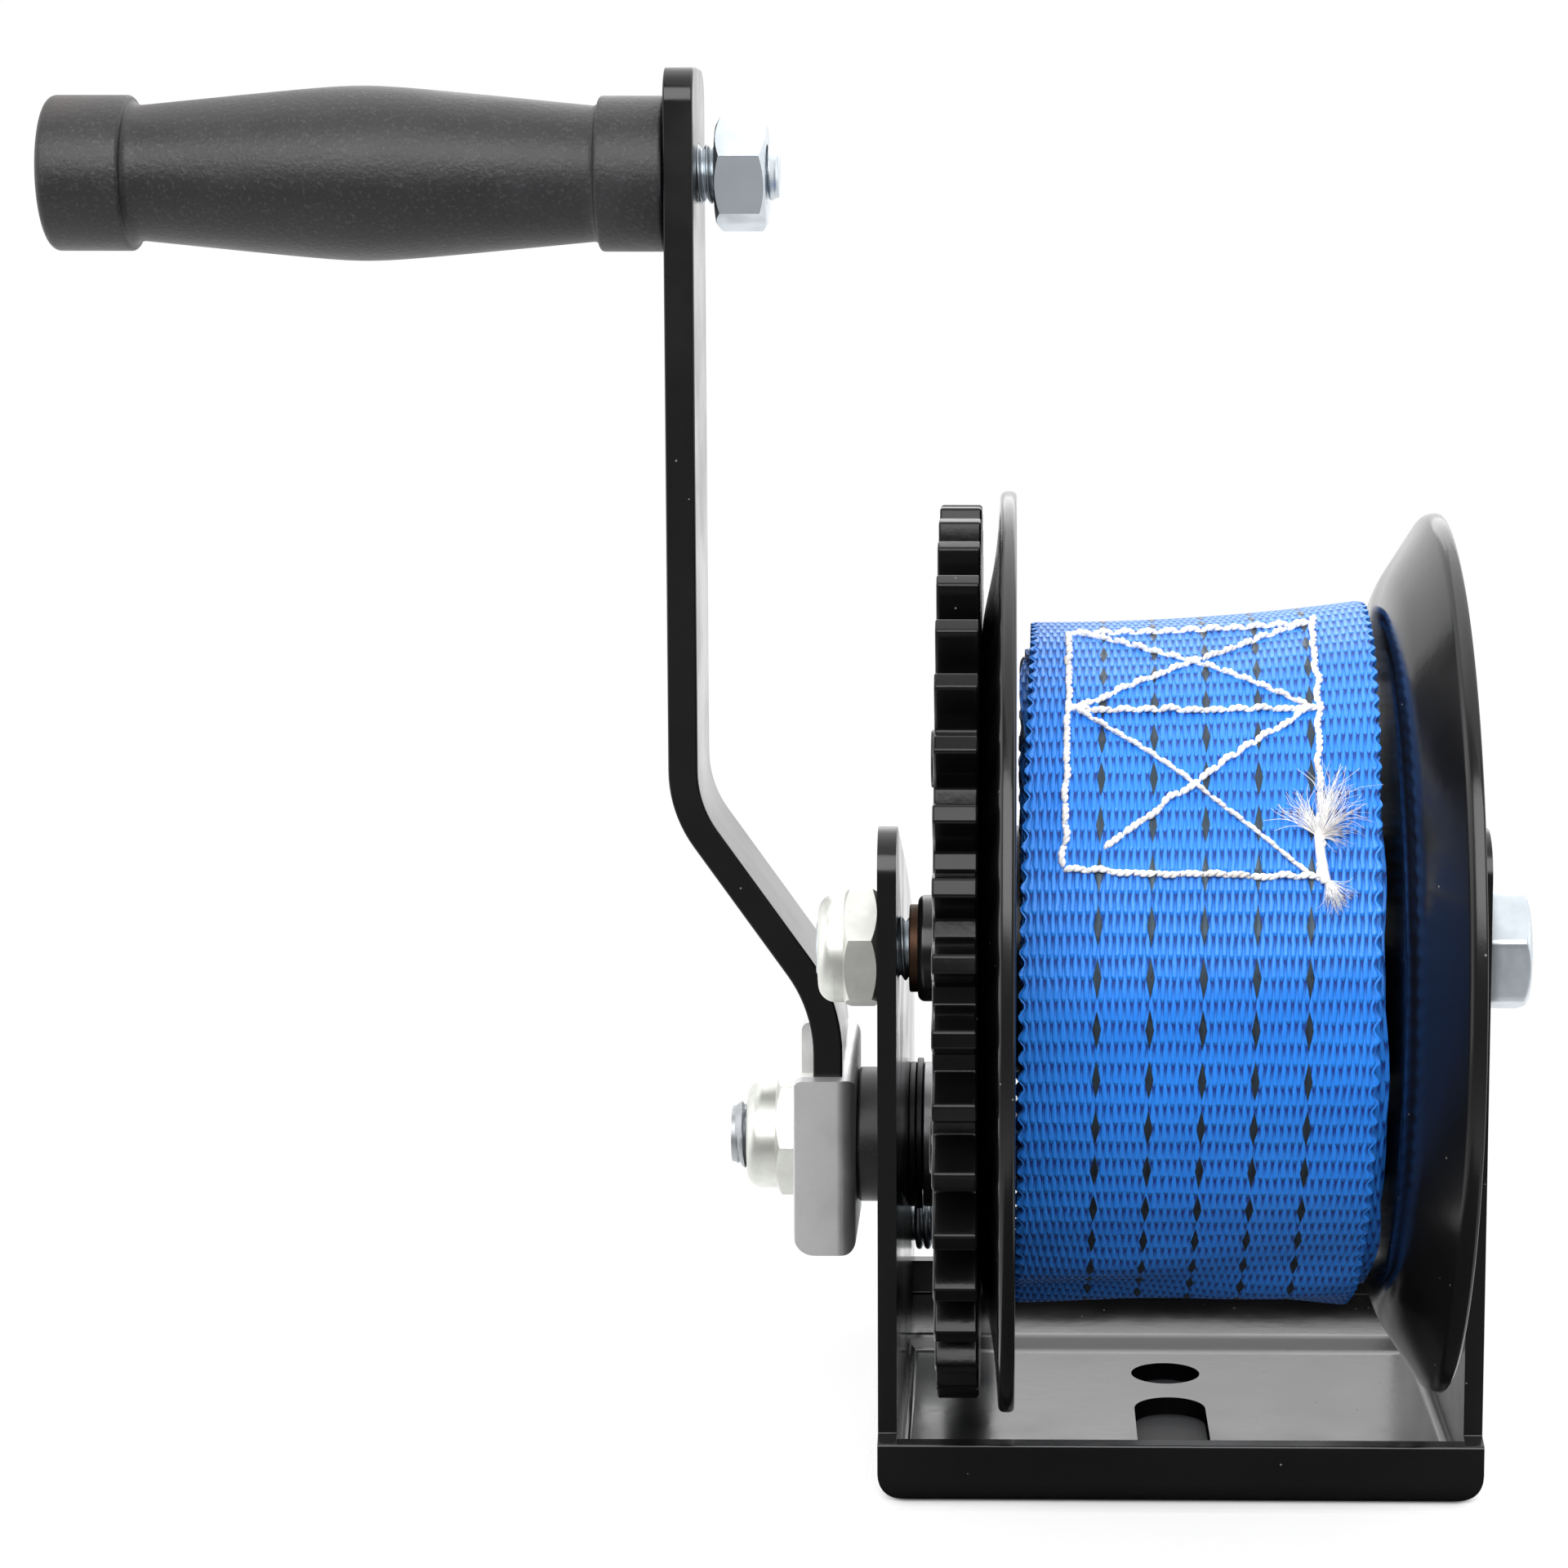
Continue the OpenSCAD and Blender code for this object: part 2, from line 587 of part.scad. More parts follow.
// Handle: long bolt, washer under its head, nut, and the plastic grip that turns on the bolt
head_right = grip_left + counterbore_l - washer_t;
module handle_bolt() color("#c3c8cc") at(handle) {
    hex_block(head_right - head_h, head_right, hex_17, 0, true, false);
    rod(head_right - 0.1, handle_end, bolt_r);
}
module handle_washer() color("#c3c8cc") at(handle) tube(head_right, head_right + washer_t, 10, bolt_r);
module handle_nut() color("#c3c8cc") at(handle) difference() {
    hex_block(bar_up_right + handle_nut_gap, bar_up_right + handle_nut_gap + handle_nut_h, hex_17, 42.5, true, true);
    rod(bar_up_right, handle_end, bolt_r);
}
function belly(s) = grip_neck_r + (grip_belly_r - grip_neck_r) * (1 - abs(s) * abs(s) * (1.6 - 0.6 * abs(s)));
neck_left = grip_left + collar_l + 2;
neck_right = grip_right - right_collar_l - 1.5;
module grip() color("#2b2b2c") at(handle) turned() polygon(concat(
    [[counterbore_r, grip_left]],
    arc([grip_collar_r - 1.2, grip_left + 1.2], 1.2, -90, 0, 5),
    arc([grip_collar_r - 0.7, grip_left + collar_l - 0.7], 0.7, 0, 80, 4),
    [for (i = [0:12]) let (x = neck_left + (grip_mid - neck_left) * i / 12) [belly((x - grip_mid) / (grip_mid - neck_left)), x]],
    [for (i = [1:12]) let (x = grip_mid + (neck_right - grip_mid) * i / 12) [belly((x - grip_mid) / (neck_right - grip_mid)), x]],
    arc([grip_collar_r - 0.5, grip_right - right_collar_l + 0.7], 0.7, -80, 0, 4),
    arc([grip_collar_r - 0.6, grip_right - 0.8], 0.8, 0, 90, 4),
    [
        [bolt_r + running_gap, grip_right],
        [bolt_r + running_gap, grip_left + counterbore_l + 0.05],
        [counterbore_r, grip_left + counterbore_l + 0.05]
    ]
));

// Pawl: a boss on the pivot pin, a nose that swings up to the pinion and a finger tab behind
module pawl() color("#1a1a1c") at(pawl_axis) difference() {
    along_x(pawl_left, pawl_left + pawl_t) union() {
        circle(pawl_boss_r);
        polygon(rounded([
            [2, 0, 0], [-2, 5.6, 0], [-8, 0.6, 4], [-14, -3.7, 6], [-20, -5.2, 2],
            [-pawl_reach, -4.4, 0.4], [-pawl_reach, -7, 1], [-18, -8.6, 3], [-3, -pawl_boss_r + 0.6, 0]
        ], 4));
        polygon(rounded([[0, -5.6, 0], [6, -3, 3], [19, 8.6, 2.2], [16, 12.4, 2.2], [4, 5.2, 4], [-3, 5, 0]], 4));
    }
    rod(pawl_left - 1, pawl_left + pawl_t + 1, pawl_pin_r + running_gap);
}

frame();
axle_bolt();
axle_nut();
axle_nut_insert();
left_shaft_bushing();
right_shaft_bushing();
pawl_pivot_pin();
pawl_spring();
drum_gear();
left_flange();
right_flange();
drum_hub();
axle_tube();
left_bronze_bushing();
right_bronze_bushing();
gear_rivets();
strap_keeper_pin();
strap_roll();
strap_sewn_end();
drive_shaft();
pinion();
left_shaft_clip();
right_shaft_clip();
spacer_collar();
crank_bracket();
crank_arm();
crank_nut();
crank_nut_insert();
handle_bolt();
handle_washer();
handle_nut();
grip();
pawl();
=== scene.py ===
"""A boat trailer winch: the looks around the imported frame, in metres.

Lengths inside the functions are in mm and are turned into metres by MM.
"""
import json
import math
import random

import bmesh
import bpy
import numpy as np
from mathutils import Matrix, Vector


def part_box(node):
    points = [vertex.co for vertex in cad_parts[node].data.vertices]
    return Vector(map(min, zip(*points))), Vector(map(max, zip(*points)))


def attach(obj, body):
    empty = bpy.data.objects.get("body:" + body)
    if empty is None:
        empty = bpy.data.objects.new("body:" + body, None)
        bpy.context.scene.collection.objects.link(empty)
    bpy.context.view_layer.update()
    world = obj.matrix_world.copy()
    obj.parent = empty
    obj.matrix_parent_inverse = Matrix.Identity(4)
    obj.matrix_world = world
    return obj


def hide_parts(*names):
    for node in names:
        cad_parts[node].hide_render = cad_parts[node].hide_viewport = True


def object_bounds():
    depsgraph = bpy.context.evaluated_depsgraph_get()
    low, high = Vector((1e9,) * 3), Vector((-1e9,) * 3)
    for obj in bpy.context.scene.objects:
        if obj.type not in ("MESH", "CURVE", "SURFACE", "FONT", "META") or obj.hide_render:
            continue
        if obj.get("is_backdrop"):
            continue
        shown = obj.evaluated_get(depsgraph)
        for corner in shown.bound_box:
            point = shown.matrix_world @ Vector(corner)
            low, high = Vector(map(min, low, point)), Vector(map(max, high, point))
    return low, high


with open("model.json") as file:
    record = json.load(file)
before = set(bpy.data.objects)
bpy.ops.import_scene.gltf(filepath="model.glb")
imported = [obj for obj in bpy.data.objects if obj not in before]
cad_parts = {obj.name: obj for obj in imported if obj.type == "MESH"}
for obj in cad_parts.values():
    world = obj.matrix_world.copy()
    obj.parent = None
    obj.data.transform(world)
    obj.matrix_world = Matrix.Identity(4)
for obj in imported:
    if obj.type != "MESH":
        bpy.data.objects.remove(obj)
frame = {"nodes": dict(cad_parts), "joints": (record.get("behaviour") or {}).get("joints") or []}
cad_low, cad_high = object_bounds()
nodes = frame["nodes"]
joints = {j["name"]: Vector(j["pos_m"]) for j in frame["joints"]}
MM = 0.001
random.seed(7)

AXLE = joints["drum_spin"]
DRIVE = joints["crank_spin"]
HANDLE = joints["grip_spin"]
PAWL = joints["pawl_swing"]


# ---------------------------------------------------------------- shader helpers

class Tree:
    """A material's node tree, with one short call for each kind of node used here."""

    def __init__(self, name):
        self.material = bpy.data.materials.new(name)
        self.material.use_nodes = True
        self.nodes = self.material.node_tree.nodes
        self.links = self.material.node_tree.links
        self.shader = self.nodes["Principled BSDF"]

    def feed(self, socket, value):
        if isinstance(value, bpy.types.NodeSocket):
            self.links.new(value, socket)
        else:
            socket.default_value = value

    def set(self, **values):
        for name, value in values.items():
            self.feed(self.shader.inputs[name.replace("_", " ")], value)

    def math(self, operation, a, b=0.0, c=0.0):
        made = self.nodes.new("ShaderNodeMath")
        made.operation = operation
        for socket, value in zip(made.inputs, (a, b, c)):
            self.feed(socket, value)
        return made.outputs[0]

    def add(self, a, b):
        return self.math("ADD", a, b)

    def minus(self, a, b):
        return self.math("SUBTRACT", a, b)

    def times(self, a, b):
        return self.math("MULTIPLY", a, b)

    def over(self, a, b):
        return self.math("DIVIDE", a, b)

    def largest(self, a, b):
        return self.math("MAXIMUM", a, b)

    def noise(self, vector, scale, detail=2.0, roughness=0.5):
        made = self.nodes.new("ShaderNodeTexNoise")
        self.feed(made.inputs["Vector"], vector)
        made.inputs["Scale"].default_value = scale
        made.inputs["Detail"].default_value = detail
        made.inputs["Roughness"].default_value = roughness
        return made.outputs["Fac"]

    def cells(self, vector, scale):
        made = self.nodes.new("ShaderNodeTexVoronoi")
        self.feed(made.inputs["Vector"], vector)
        made.inputs["Scale"].default_value = scale
        return made.outputs["Distance"]

    def place(self):
        """Where a point is on the object, in metres."""
        return self.nodes.new("ShaderNodeTexCoord").outputs["Object"]

    def stretched(self, vector, scale):
        made = self.nodes.new("ShaderNodeMapping")
        self.feed(made.inputs["Vector"], vector)
        made.inputs["Scale"].default_value = scale
        return made.outputs["Vector"]

    def between(self, value, low, high, to_low=0.0, to_high=1.0, smooth=True):
        made = self.nodes.new("ShaderNodeMapRange")
        made.interpolation_type = "SMOOTHSTEP" if smooth else "LINEAR"
        for socket, number in zip(made.inputs, (value, low, high, to_low, to_high)):
            self.feed(socket, number)
        return made.outputs["Result"]

    def mix(self, factor, a, b):
        made = self.nodes.new("ShaderNodeMix")
        made.data_type = "RGBA"
        for name, value in (("Factor", factor), ("A", a), ("B", b)):
            sockets = [s for s in made.inputs if s.name == name and s.enabled]
            self.feed(sockets[0], value)
        return [s for s in made.outputs if s.enabled][0]

    def bump(self, height, distance, strength=1.0, under=None):
        made = self.nodes.new("ShaderNodeBump")
        made.inputs["Strength"].default_value = strength
        made.inputs["Distance"].default_value = distance
        self.feed(made.inputs["Height"], height)
        if under is not None:
            self.links.new(under, made.inputs["Normal"])
        return made.outputs["Normal"]


def grey(value):
    return (value, value, value, 1)


# ---------------------------------------------------------------- materials

def powder_coat(name, shade, rough, peel=1.0, gloss=0.38):
    """Gloss black powder coat: soft orange peel, fine dust and a slightly uneven gloss."""
    t = Tree(name)
    place = t.place()
    cloud = t.noise(place, 60, 3)
    wavy = t.noise(place, 520, 2)
    fine = t.noise(place, 2600, 2)
    dust = t.cells(place, 330)
    speck = t.math("LESS_THAN", dust, 0.055)
    chosen = t.math("GREATER_THAN", t.noise(place, 95, 1), 0.56)
    speck = t.times(speck, chosen)
    coat = (shade, shade, shade * 1.08, 1)
    t.set(
        Base_Color=t.mix(speck, coat, (0.16, 0.15, 0.14, 1)),
        Roughness=t.add(t.between(cloud, 0.3, 0.7, rough - 0.03, rough + 0.06), t.times(speck, 0.4)),
        Specular_IOR_Level=gloss,
        Normal=t.bump(fine, 0.00001, 0.25 * peel, t.bump(wavy, 0.00006, 0.22 * peel)),
    )
    return t.material


def zinc(name, tint, rough, streak=(1, 1, 1)):
    """Bright zinc plate: faint cloudy tint, fine drawing marks and small dull spots."""
    t = Tree(name)
    place = t.place()
    cloud = t.noise(place, 140, 3, 0.6)
    marks = t.noise(t.stretched(place, streak), 2400, 3, 0.6)
    spots = t.noise(place, 900, 3, 0.7)
    dull = tuple(c * 0.86 for c in tint)
    colour = t.mix(t.between(cloud, 0.35, 0.7), tint + (1,), dull + (1,))
    colour = t.mix(t.between(spots, 0.62, 0.72, 0, 0.22), colour, (0.36, 0.37, 0.38, 1))
    t.set(
        Base_Color=colour,
        Metallic=1.0,
        Roughness=t.between(cloud, 0.3, 0.75, rough, rough + 0.12),
        Normal=t.bump(marks, 0.00002, 0.3, t.bump(spots, 0.00003, 0.2)),
    )
    return t.material


def turned_steel(name, tint, rough):
    """Machined steel with lathe marks around X and a thin film of oil."""
    t = Tree(name)
    place = t.place()
    rings = t.noise(t.stretched(place, (9, 0.2, 0.2)), 500, 3, 0.7)
    cloud = t.noise(place, 90, 3)
    t.set(
        Base_Color=t.mix(cloud, tint + (1,), tuple(c * 0.55 for c in tint) + (1,)),
        Metallic=1.0,
        Roughness=t.between(cloud, 0.3, 0.7, rough, rough + 0.18),
        Normal=t.bump(rings, 0.00003, 0.5),
    )
    return t.material


def plastic(name, shade, rough, grain_scale, grain_depth, smudge=None):
    """Moulded plastic with a fine grain, scuffed a little lighter where it is handled."""
    t = Tree(name)
    place = t.place()
    grain = t.noise(place, grain_scale, 4, 0.65)
    cloud = t.noise(place, 45, 4, 0.6)
    pores = t.cells(place, grain_scale * 0.6)
    scuffed = tuple(c * 1.9 for c in shade)
    raised = tuple(c * 3.6 for c in shade)
    colour = t.mix(t.between(cloud, 0.4, 0.75), shade + (1,), scuffed + (1,))
    colour = t.mix(t.between(grain, 0.52, 0.7, 0, 0.8), colour, raised + (1,))
    if smudge:
        patch = t.noise(place, 28, 2)
        colour = t.mix(t.between(patch, 0.58, 0.74, 0, 0.5), colour, smudge + (1,))
    t.set(
        Base_Color=colour,
        Roughness=t.between(cloud, 0.3, 0.7, rough, rough + 0.1),
        Specular_IOR_Level=0.42,
        Normal=t.bump(grain, grain_depth, 0.6, t.bump(pores, grain_depth, 0.2)),
    )
    return t.material


STRAP_W = 50.0
STRAP_T = 1.3
COLUMN = 1.07         # mm across from one float of the weave to the next
ROW = 6.1             # mm along from one float to the next on the same yarn
TRACERS = 5           # black yarns
TRACER_FIRST = 10.6   # mm from the strap's left edge to the first of them
TRACER_STEP = 7.45    # mm across from one to the next
TRACER_ROW = 7.35     # mm along from one of their floats to the next


def webbing():
    """Blue polyester webbing: pointed floats in a half-drop lattice, black tracer yarns, and painted shade in
    the gaps between the floats.
    """
    t = Tree("blue_webbing")
    uv = t.nodes.new("ShaderNodeUVMap")
    uv.uv_map = "weave"
    apart = t.nodes.new("ShaderNodeSeparateXYZ")
    t.links.new(uv.outputs["UV"], apart.inputs[0])
    wobble = t.noise(uv.outputs["UV"], 0.35, 2)
    across = t.add(apart.outputs["X"], t.times(t.minus(wobble, 0.5), 0.5))
    along = t.add(apart.outputs["Y"], t.times(wobble, 0.8))

    def floats(shift):
        """Yarns that come up blunt, lie on top and dive to a point."""
        side = t.math("PINGPONG", t.add(t.over(across, COLUMN), shift), 0.5)
        run = t.math("FRACT", t.add(t.over(along, ROW), shift))
        blunt = t.between(run, 0.0, 0.16)
        point = t.math("POWER", t.minus(1.0, run), 0.62)
        width = t.largest(t.times(t.times(blunt, point), 0.56), 0.01)
        side = t.over(side, width)
        crown = t.largest(t.minus(1.0, t.times(side, side)), 0.0)
        dive = t.between(run, 1.0, 0.0, 0.1, 1.0, False)
        return t.times(crown, t.times(blunt, dive))

    height = t.largest(floats(0.0), floats(0.5))
    row = t.math("ABSOLUTE", t.minus(t.math("FRACT", t.over(along, TRACER_ROW)), 0.5))
    taper = t.minus(1.0, t.over(row, 0.4))
    offset = t.minus(apart.outputs["X"], TRACER_FIRST - TRACER_STEP / 2)
    column = t.math("FRACT", t.over(offset, TRACER_STEP))
    beside = t.times(t.math("ABSOLUTE", t.minus(column, 0.5)), TRACER_STEP)
    past_first = t.math("GREATER_THAN", offset, 0.0)
    before_last = t.math("LESS_THAN", offset, TRACERS * TRACER_STEP)
    inside = t.times(past_first, before_last)
    edge = t.minus(t.times(taper, 0.62), beside)
    tracer = t.times(t.between(edge, -0.05, 0.05), inside)
    fibres = t.noise(t.stretched(uv.outputs["UV"], (9, 0.25, 1)), 1.6, 3, 0.6)
    patches = t.noise(uv.outputs["UV"], 0.06, 3)
    # painted shade: the gaps between the floats are coloured dark navy, and the float tops are blue
    gap_shade = (0.001, 0.014, 0.20, 1)
    blue = t.mix(patches, (0.010, 0.17, 0.72, 1), (0.018, 0.22, 0.80, 1))
    blue = t.mix(t.between(fibres, 0.5, 0.8, 0, 0.45), blue, (0.08, 0.38, 0.90, 1))
    colour = t.mix(t.between(height, 0.0, 0.42), gap_shade, blue)
    colour = t.mix(tracer, colour, (0.004, 0.004, 0.006, 1))
    lift = t.add(t.times(height, t.minus(1.0, tracer)), t.times(tracer, 0.75))
    lift = t.add(lift, t.times(fibres, 0.12))
    t.set(
        Base_Color=colour,
        Roughness=t.between(height, 0.0, 1.0, 0.62, 0.3),
        Specular_IOR_Level=0.85,
        Specular_Tint=(0.55, 0.78, 1.0, 1),
        Sheen_Weight=0.05,
        Sheen_Roughness=0.4,
        Sheen_Tint=(0.55, 0.75, 1.0, 1),
        Normal=t.bump(lift, 0.00034, 1.0),
    )
    return t.material


def thread_white():
    """Bonded polyester sewing thread, off-white and slightly grubby."""
    t = Tree("white_thread")
    place = t.place()
    fibre = t.noise(place, 5200, 3, 0.6)
    grime = t.noise(place, 160, 3)
    t.set(
        Base_Color=t.mix(t.between(grime, 0.45, 0.75), (0.86, 0.85, 0.84, 1), (0.62, 0.58, 0.54, 1)),
        Roughness=0.62,
        Sheen_Weight=0.3,
        Normal=t.bump(fibre, 0.00004, 0.6),
    )
    return t.material


FOOT_HALF_X, FOOT_HALF_Y = 0.042, 0.048   # metres, a little inside the winch's base
FOOT_Y = -0.0065                          # the base's middle


def floor_paint():
    """A pale floor with painted shade, dark grey, under the winch, that keeps its contact shadow and fades
    out around it.
    """
    t = Tree("floor_paint")
    place = t.place()
    apart = t.nodes.new("ShaderNodeSeparateXYZ")
    t.links.new(place, apart.inputs[0])
    from_x = t.math("ABSOLUTE", apart.outputs["X"])
    dx = t.largest(t.minus(from_x, FOOT_HALF_X), 0.0)
    from_y = t.math("ABSOLUTE", t.minus(apart.outputs["Y"], FOOT_Y))
    dy = t.largest(t.minus(from_y, FOOT_HALF_Y), 0.0)
    away = t.math("SQRT", t.add(t.times(dx, dx), t.times(dy, dy)))
    under = t.between(away, 0.0, 0.010, 1.0, 0.0)
    near = t.between(away, 0.0, 0.12, 0.16, 0.0)
    cloud = t.noise(place, 3, 3)
    pale = t.mix(cloud, grey(0.9), grey(0.92))
    t.set(
        # painted shade: dark grey where the floor lies under the winch's base, pale around it
        Base_Color=t.mix(t.between(away, 0.0, 0.003), grey(0.12), pale),
        Roughness=0.75,
        Specular_IOR_Level=0.2,
        Alpha=t.largest(under, near),
    )
    return t.material


def shade_cloth():
    """A dark cloth under the drum, unseen by the camera, for the shade that the overhang casts."""
    t = Tree("shade_cloth")
    weave = t.noise(t.place(), 300, 2)
    t.set(Base_Color=t.mix(weave, grey(0.04), grey(0.06)), Roughness=0.9, Specular_IOR_Level=0.1)
    return t.material


MATERIALS = {
    "black_coat": powder_coat("black_coat", 0.0055, 0.17),
    "gear_coat": powder_coat("gear_coat", 0.0025, 0.18, 2.2, 0.24),
    "zinc": zinc("zinc", (0.56, 0.61, 0.65), 0.33),
    "sheet_zinc": zinc("sheet_zinc", (0.72, 0.72, 0.73), 0.42),
    "satin_zinc": zinc("satin_zinc", (0.68, 0.69, 0.65), 0.36),
    "bare_steel": turned_steel("bare_steel", (0.30, 0.30, 0.31), 0.32),
    "shaft_steel": turned_steel("shaft_steel", (0.50, 0.52, 0.54), 0.3),
    "dark_steel": turned_steel("dark_steel", (0.05, 0.05, 0.055), 0.38),
    "bronze": turned_steel("bronze", (0.075, 0.042, 0.028), 0.42),
    "black_nylon": plastic("black_nylon", (0.008, 0.008, 0.009), 0.36, 1800, 0.00002),
    "nut_nylon": plastic("nut_nylon", (0.32, 0.31, 0.26), 0.45, 1800, 0.00002),
    "grip_plastic": plastic(
        "grip_plastic", (0.012, 0.0115, 0.0125), 0.4, 1500, 0.00016, (0.04, 0.027, 0.022)),
    "blue_webbing": webbing(),
    "white_thread": thread_white(),
}


# ---------------------------------------------------------------- mesh helpers

def add_piece(name, points, faces, material, body, slot=None, replaces=()):
    """A new smooth mesh, its faces turned outwards, that rides on a body."""
    mesh = bpy.data.meshes.new(name)
    mesh.from_pydata([tuple(p) for p in points], [], [tuple(f) for f in faces])
    mesh.validate()
    shell = bmesh.new()
    shell.from_mesh(mesh)
    bmesh.ops.recalc_face_normals(shell, faces=shell.faces)
    shell.to_mesh(mesh)
    shell.free()
    mesh.polygons.foreach_set("use_smooth", [True] * len(mesh.polygons))
    piece = bpy.data.objects.new(name, mesh)
    bpy.context.scene.collection.objects.link(piece)
    mesh.materials.append(MATERIALS[material])
    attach(piece, body)
    if replaces:
        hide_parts(*replaces)
    return piece


def grid_faces(rows, columns):
    """Quads over a grid of points stored row by row, where each row closes on itself."""
    faces = []
    for i in range(rows - 1):
        for j in range(columns):
            a, b = i * columns, (i + 1) * columns
            k = (j + 1) % columns
            faces.append((a + j, a + k, b + k, b + j))
    return faces


def smooth_by_angle(piece, degrees):
    """Smooth shading that keeps edges sharper than the angle, as a modifier."""
    name = f"smooth_{degrees}"
    group = bpy.data.node_groups.get(name)
    if group is None:
        group = bpy.data.node_groups.new(name, "GeometryNodeTree")
        group.interface.new_socket("Geometry", in_out="INPUT", socket_type="NodeSocketGeometry")
        group.interface.new_socket("Geometry", in_out="OUTPUT", socket_type="NodeSocketGeometry")
        start = group.nodes.new("NodeGroupInput")
        end = group.nodes.new("NodeGroupOutput")
        angle = group.nodes.new("GeometryNodeInputMeshEdgeAngle")
        below = group.nodes.new("FunctionNodeCompare")
        below.operation = "LESS_EQUAL"
        below.inputs[1].default_value = math.radians(degrees)
        faces = group.nodes.new("GeometryNodeSetShadeSmooth")
        edges = group.nodes.new("GeometryNodeSetShadeSmooth")
        edges.domain = "EDGE"
        group.links.new(start.outputs[0], faces.inputs["Geometry"])
        group.links.new(faces.outputs[0], edges.inputs["Geometry"])
        group.links.new(angle.outputs["Unsigned Angle"], below.inputs[0])
        group.links.new(below.outputs[0], edges.inputs["Shade Smooth"])
        group.links.new(edges.outputs[0], end.inputs[0])
    made = piece.modifiers.new("smooth", "NODES")
    made.node_group = group


SHARP = 28   # degrees, an edge from here on is rounded
KEEP = 32    # degrees, a steeper edge stays sharp in the shading


def soften(piece, width, segments):
    """Welds a piece, rounds its sharp edges by width in mm and shades it smooth."""
    weld = piece.modifiers.new("weld", "WELD")
    weld.merge_threshold = 2e-6
    flat = piece.modifiers.new("flat", "DECIMATE")
    flat.decimate_type = "DISSOLVE"
    flat.angle_limit = math.radians(0.6)
    if width:
        bevel = piece.modifiers.new("round", "BEVEL")
        bevel.width = width * MM
        bevel.segments = segments
        bevel.limit_method = "ANGLE"
        bevel.angle_limit = math.radians(SHARP)
        bevel.miter_outer = "MITER_ARC"
        bevel.harden_normals = False
    smooth_by_angle(piece, KEEP)
    weighted = piece.modifiers.new("weighted", "WEIGHTED_NORMAL")
    weighted.keep_sharp = True
    weighted.weight = 90


def dress(node, material, width, segments=3):
    """A carried-over CAD node gets its material and its softened edges."""
    piece = nodes[node]
    piece.data.materials.clear()
    piece.data.materials.append(MATERIALS[material])
    if "custom_normal" in piece.data.attributes:
        piece.data.attributes.remove(piece.data.attributes["custom_normal"])
    soften(piece, width, segments)


def around(axis, x, r, degrees):
    """The point at a radius in mm and an angle from +Y towards +Z about an axis along X."""
    a = math.radians(degrees)
    return Vector((x * MM, axis.y + r * MM * math.cos(a), axis.z + r * MM * math.sin(a)))


def revolved(axis, profile, sides=72):
    """Points and faces of a surface of revolution about X from [x, r] pairs in mm."""
    points = [around(axis, x, max(r, 0.001), 360 * k / sides) for x, r in profile for k in range(sides)]
    return points, grid_faces(len(profile), sides)


def lathe(name, axis, profile, material, body, sides=128, **more):
    """A turned piece from a closed profile."""
    points, faces = revolved(axis, profile, sides)
    return add_piece(name, points, faces, material, body, **more)


def sweep(path, radius, sides, taper=None):
    """Points and faces of a round tube along a path of Vectors."""
    points = []
    tangent = (path[1] - path[0]).normalized()
    normal = tangent.orthogonal().normalized()
    for i, p in enumerate(path):
        ahead = path[min(i + 1, len(path) - 1)] - path[max(i - 1, 0)]
        if ahead.length > 1e-12:
            turn = tangent.rotation_difference(ahead.normalized())
            normal = (turn @ normal).normalized()
            tangent = ahead.normalized()
        side = tangent.cross(normal)
        r = radius * (taper(i / (len(path) - 1)) if taper else 1.0)
        for k in range(sides):
            a = 2 * math.pi * k / sides
            points.append(p + r * (math.cos(a) * normal + math.sin(a) * side))
    faces = grid_faces(len(path), sides)
    faces.append(tuple(range(sides - 1, -1, -1)))
    last = (len(path) - 1) * sides
    faces.append(tuple(range(last, last + sides)))
    return points, faces


def join_parts(parts):
    """One list of points and faces out of many."""
    points, faces = [], []
    for more, quads in parts:
        base = len(points)
        points.extend(more)
        faces.extend(tuple(base + i for i in quad) for quad in quads)
    return points, faces


THREAD_SIDES = 72


def thread_grid(axis, x0, x1, major, pitch, sides=THREAD_SIDES, steps=10):
    """A cut thread: rows of points whose radius follows a V that climbs one pitch a turn."""
    depth = 0.58 * pitch
    rows = int(abs(x1 - x0) / pitch * steps)
    points = []
    for i in range(rows + 1):
        x = x0 + (x1 - x0) * i / rows
        fade = min(1.0, (rows - i) / (0.9 * steps))
        for k in range(sides):
            wave = abs(((x / pitch - k / sides) % 1.0) * 2 - 1)
            flat = min(max((wave - 0.1) / 0.78, 0.0), 1.0)
            r = major - depth * (1 - flat)
            r = min(r, major - depth * 1.05 * (1 - fade))
            points.append(around(axis, x, r, 360 * k / sides))
    return points, grid_faces(rows + 1, sides), rows


def capped(points, faces, rows, axis, x_tip, tip_r, sides=THREAD_SIDES):
    """Closes a thread's free end with a small chamfer and a flat tip."""
    base = len(points)
    points = list(points) + [around(axis, x_tip, tip_r, 360 * k / sides) for k in range(sides)]
    last = rows * sides
    for k in range(sides):
        j = (k + 1) % sides
        faces.append((last + k, last + j, base + j, base + k))
    faces.append(tuple(base + k for k in range(sides)))
    return points, faces


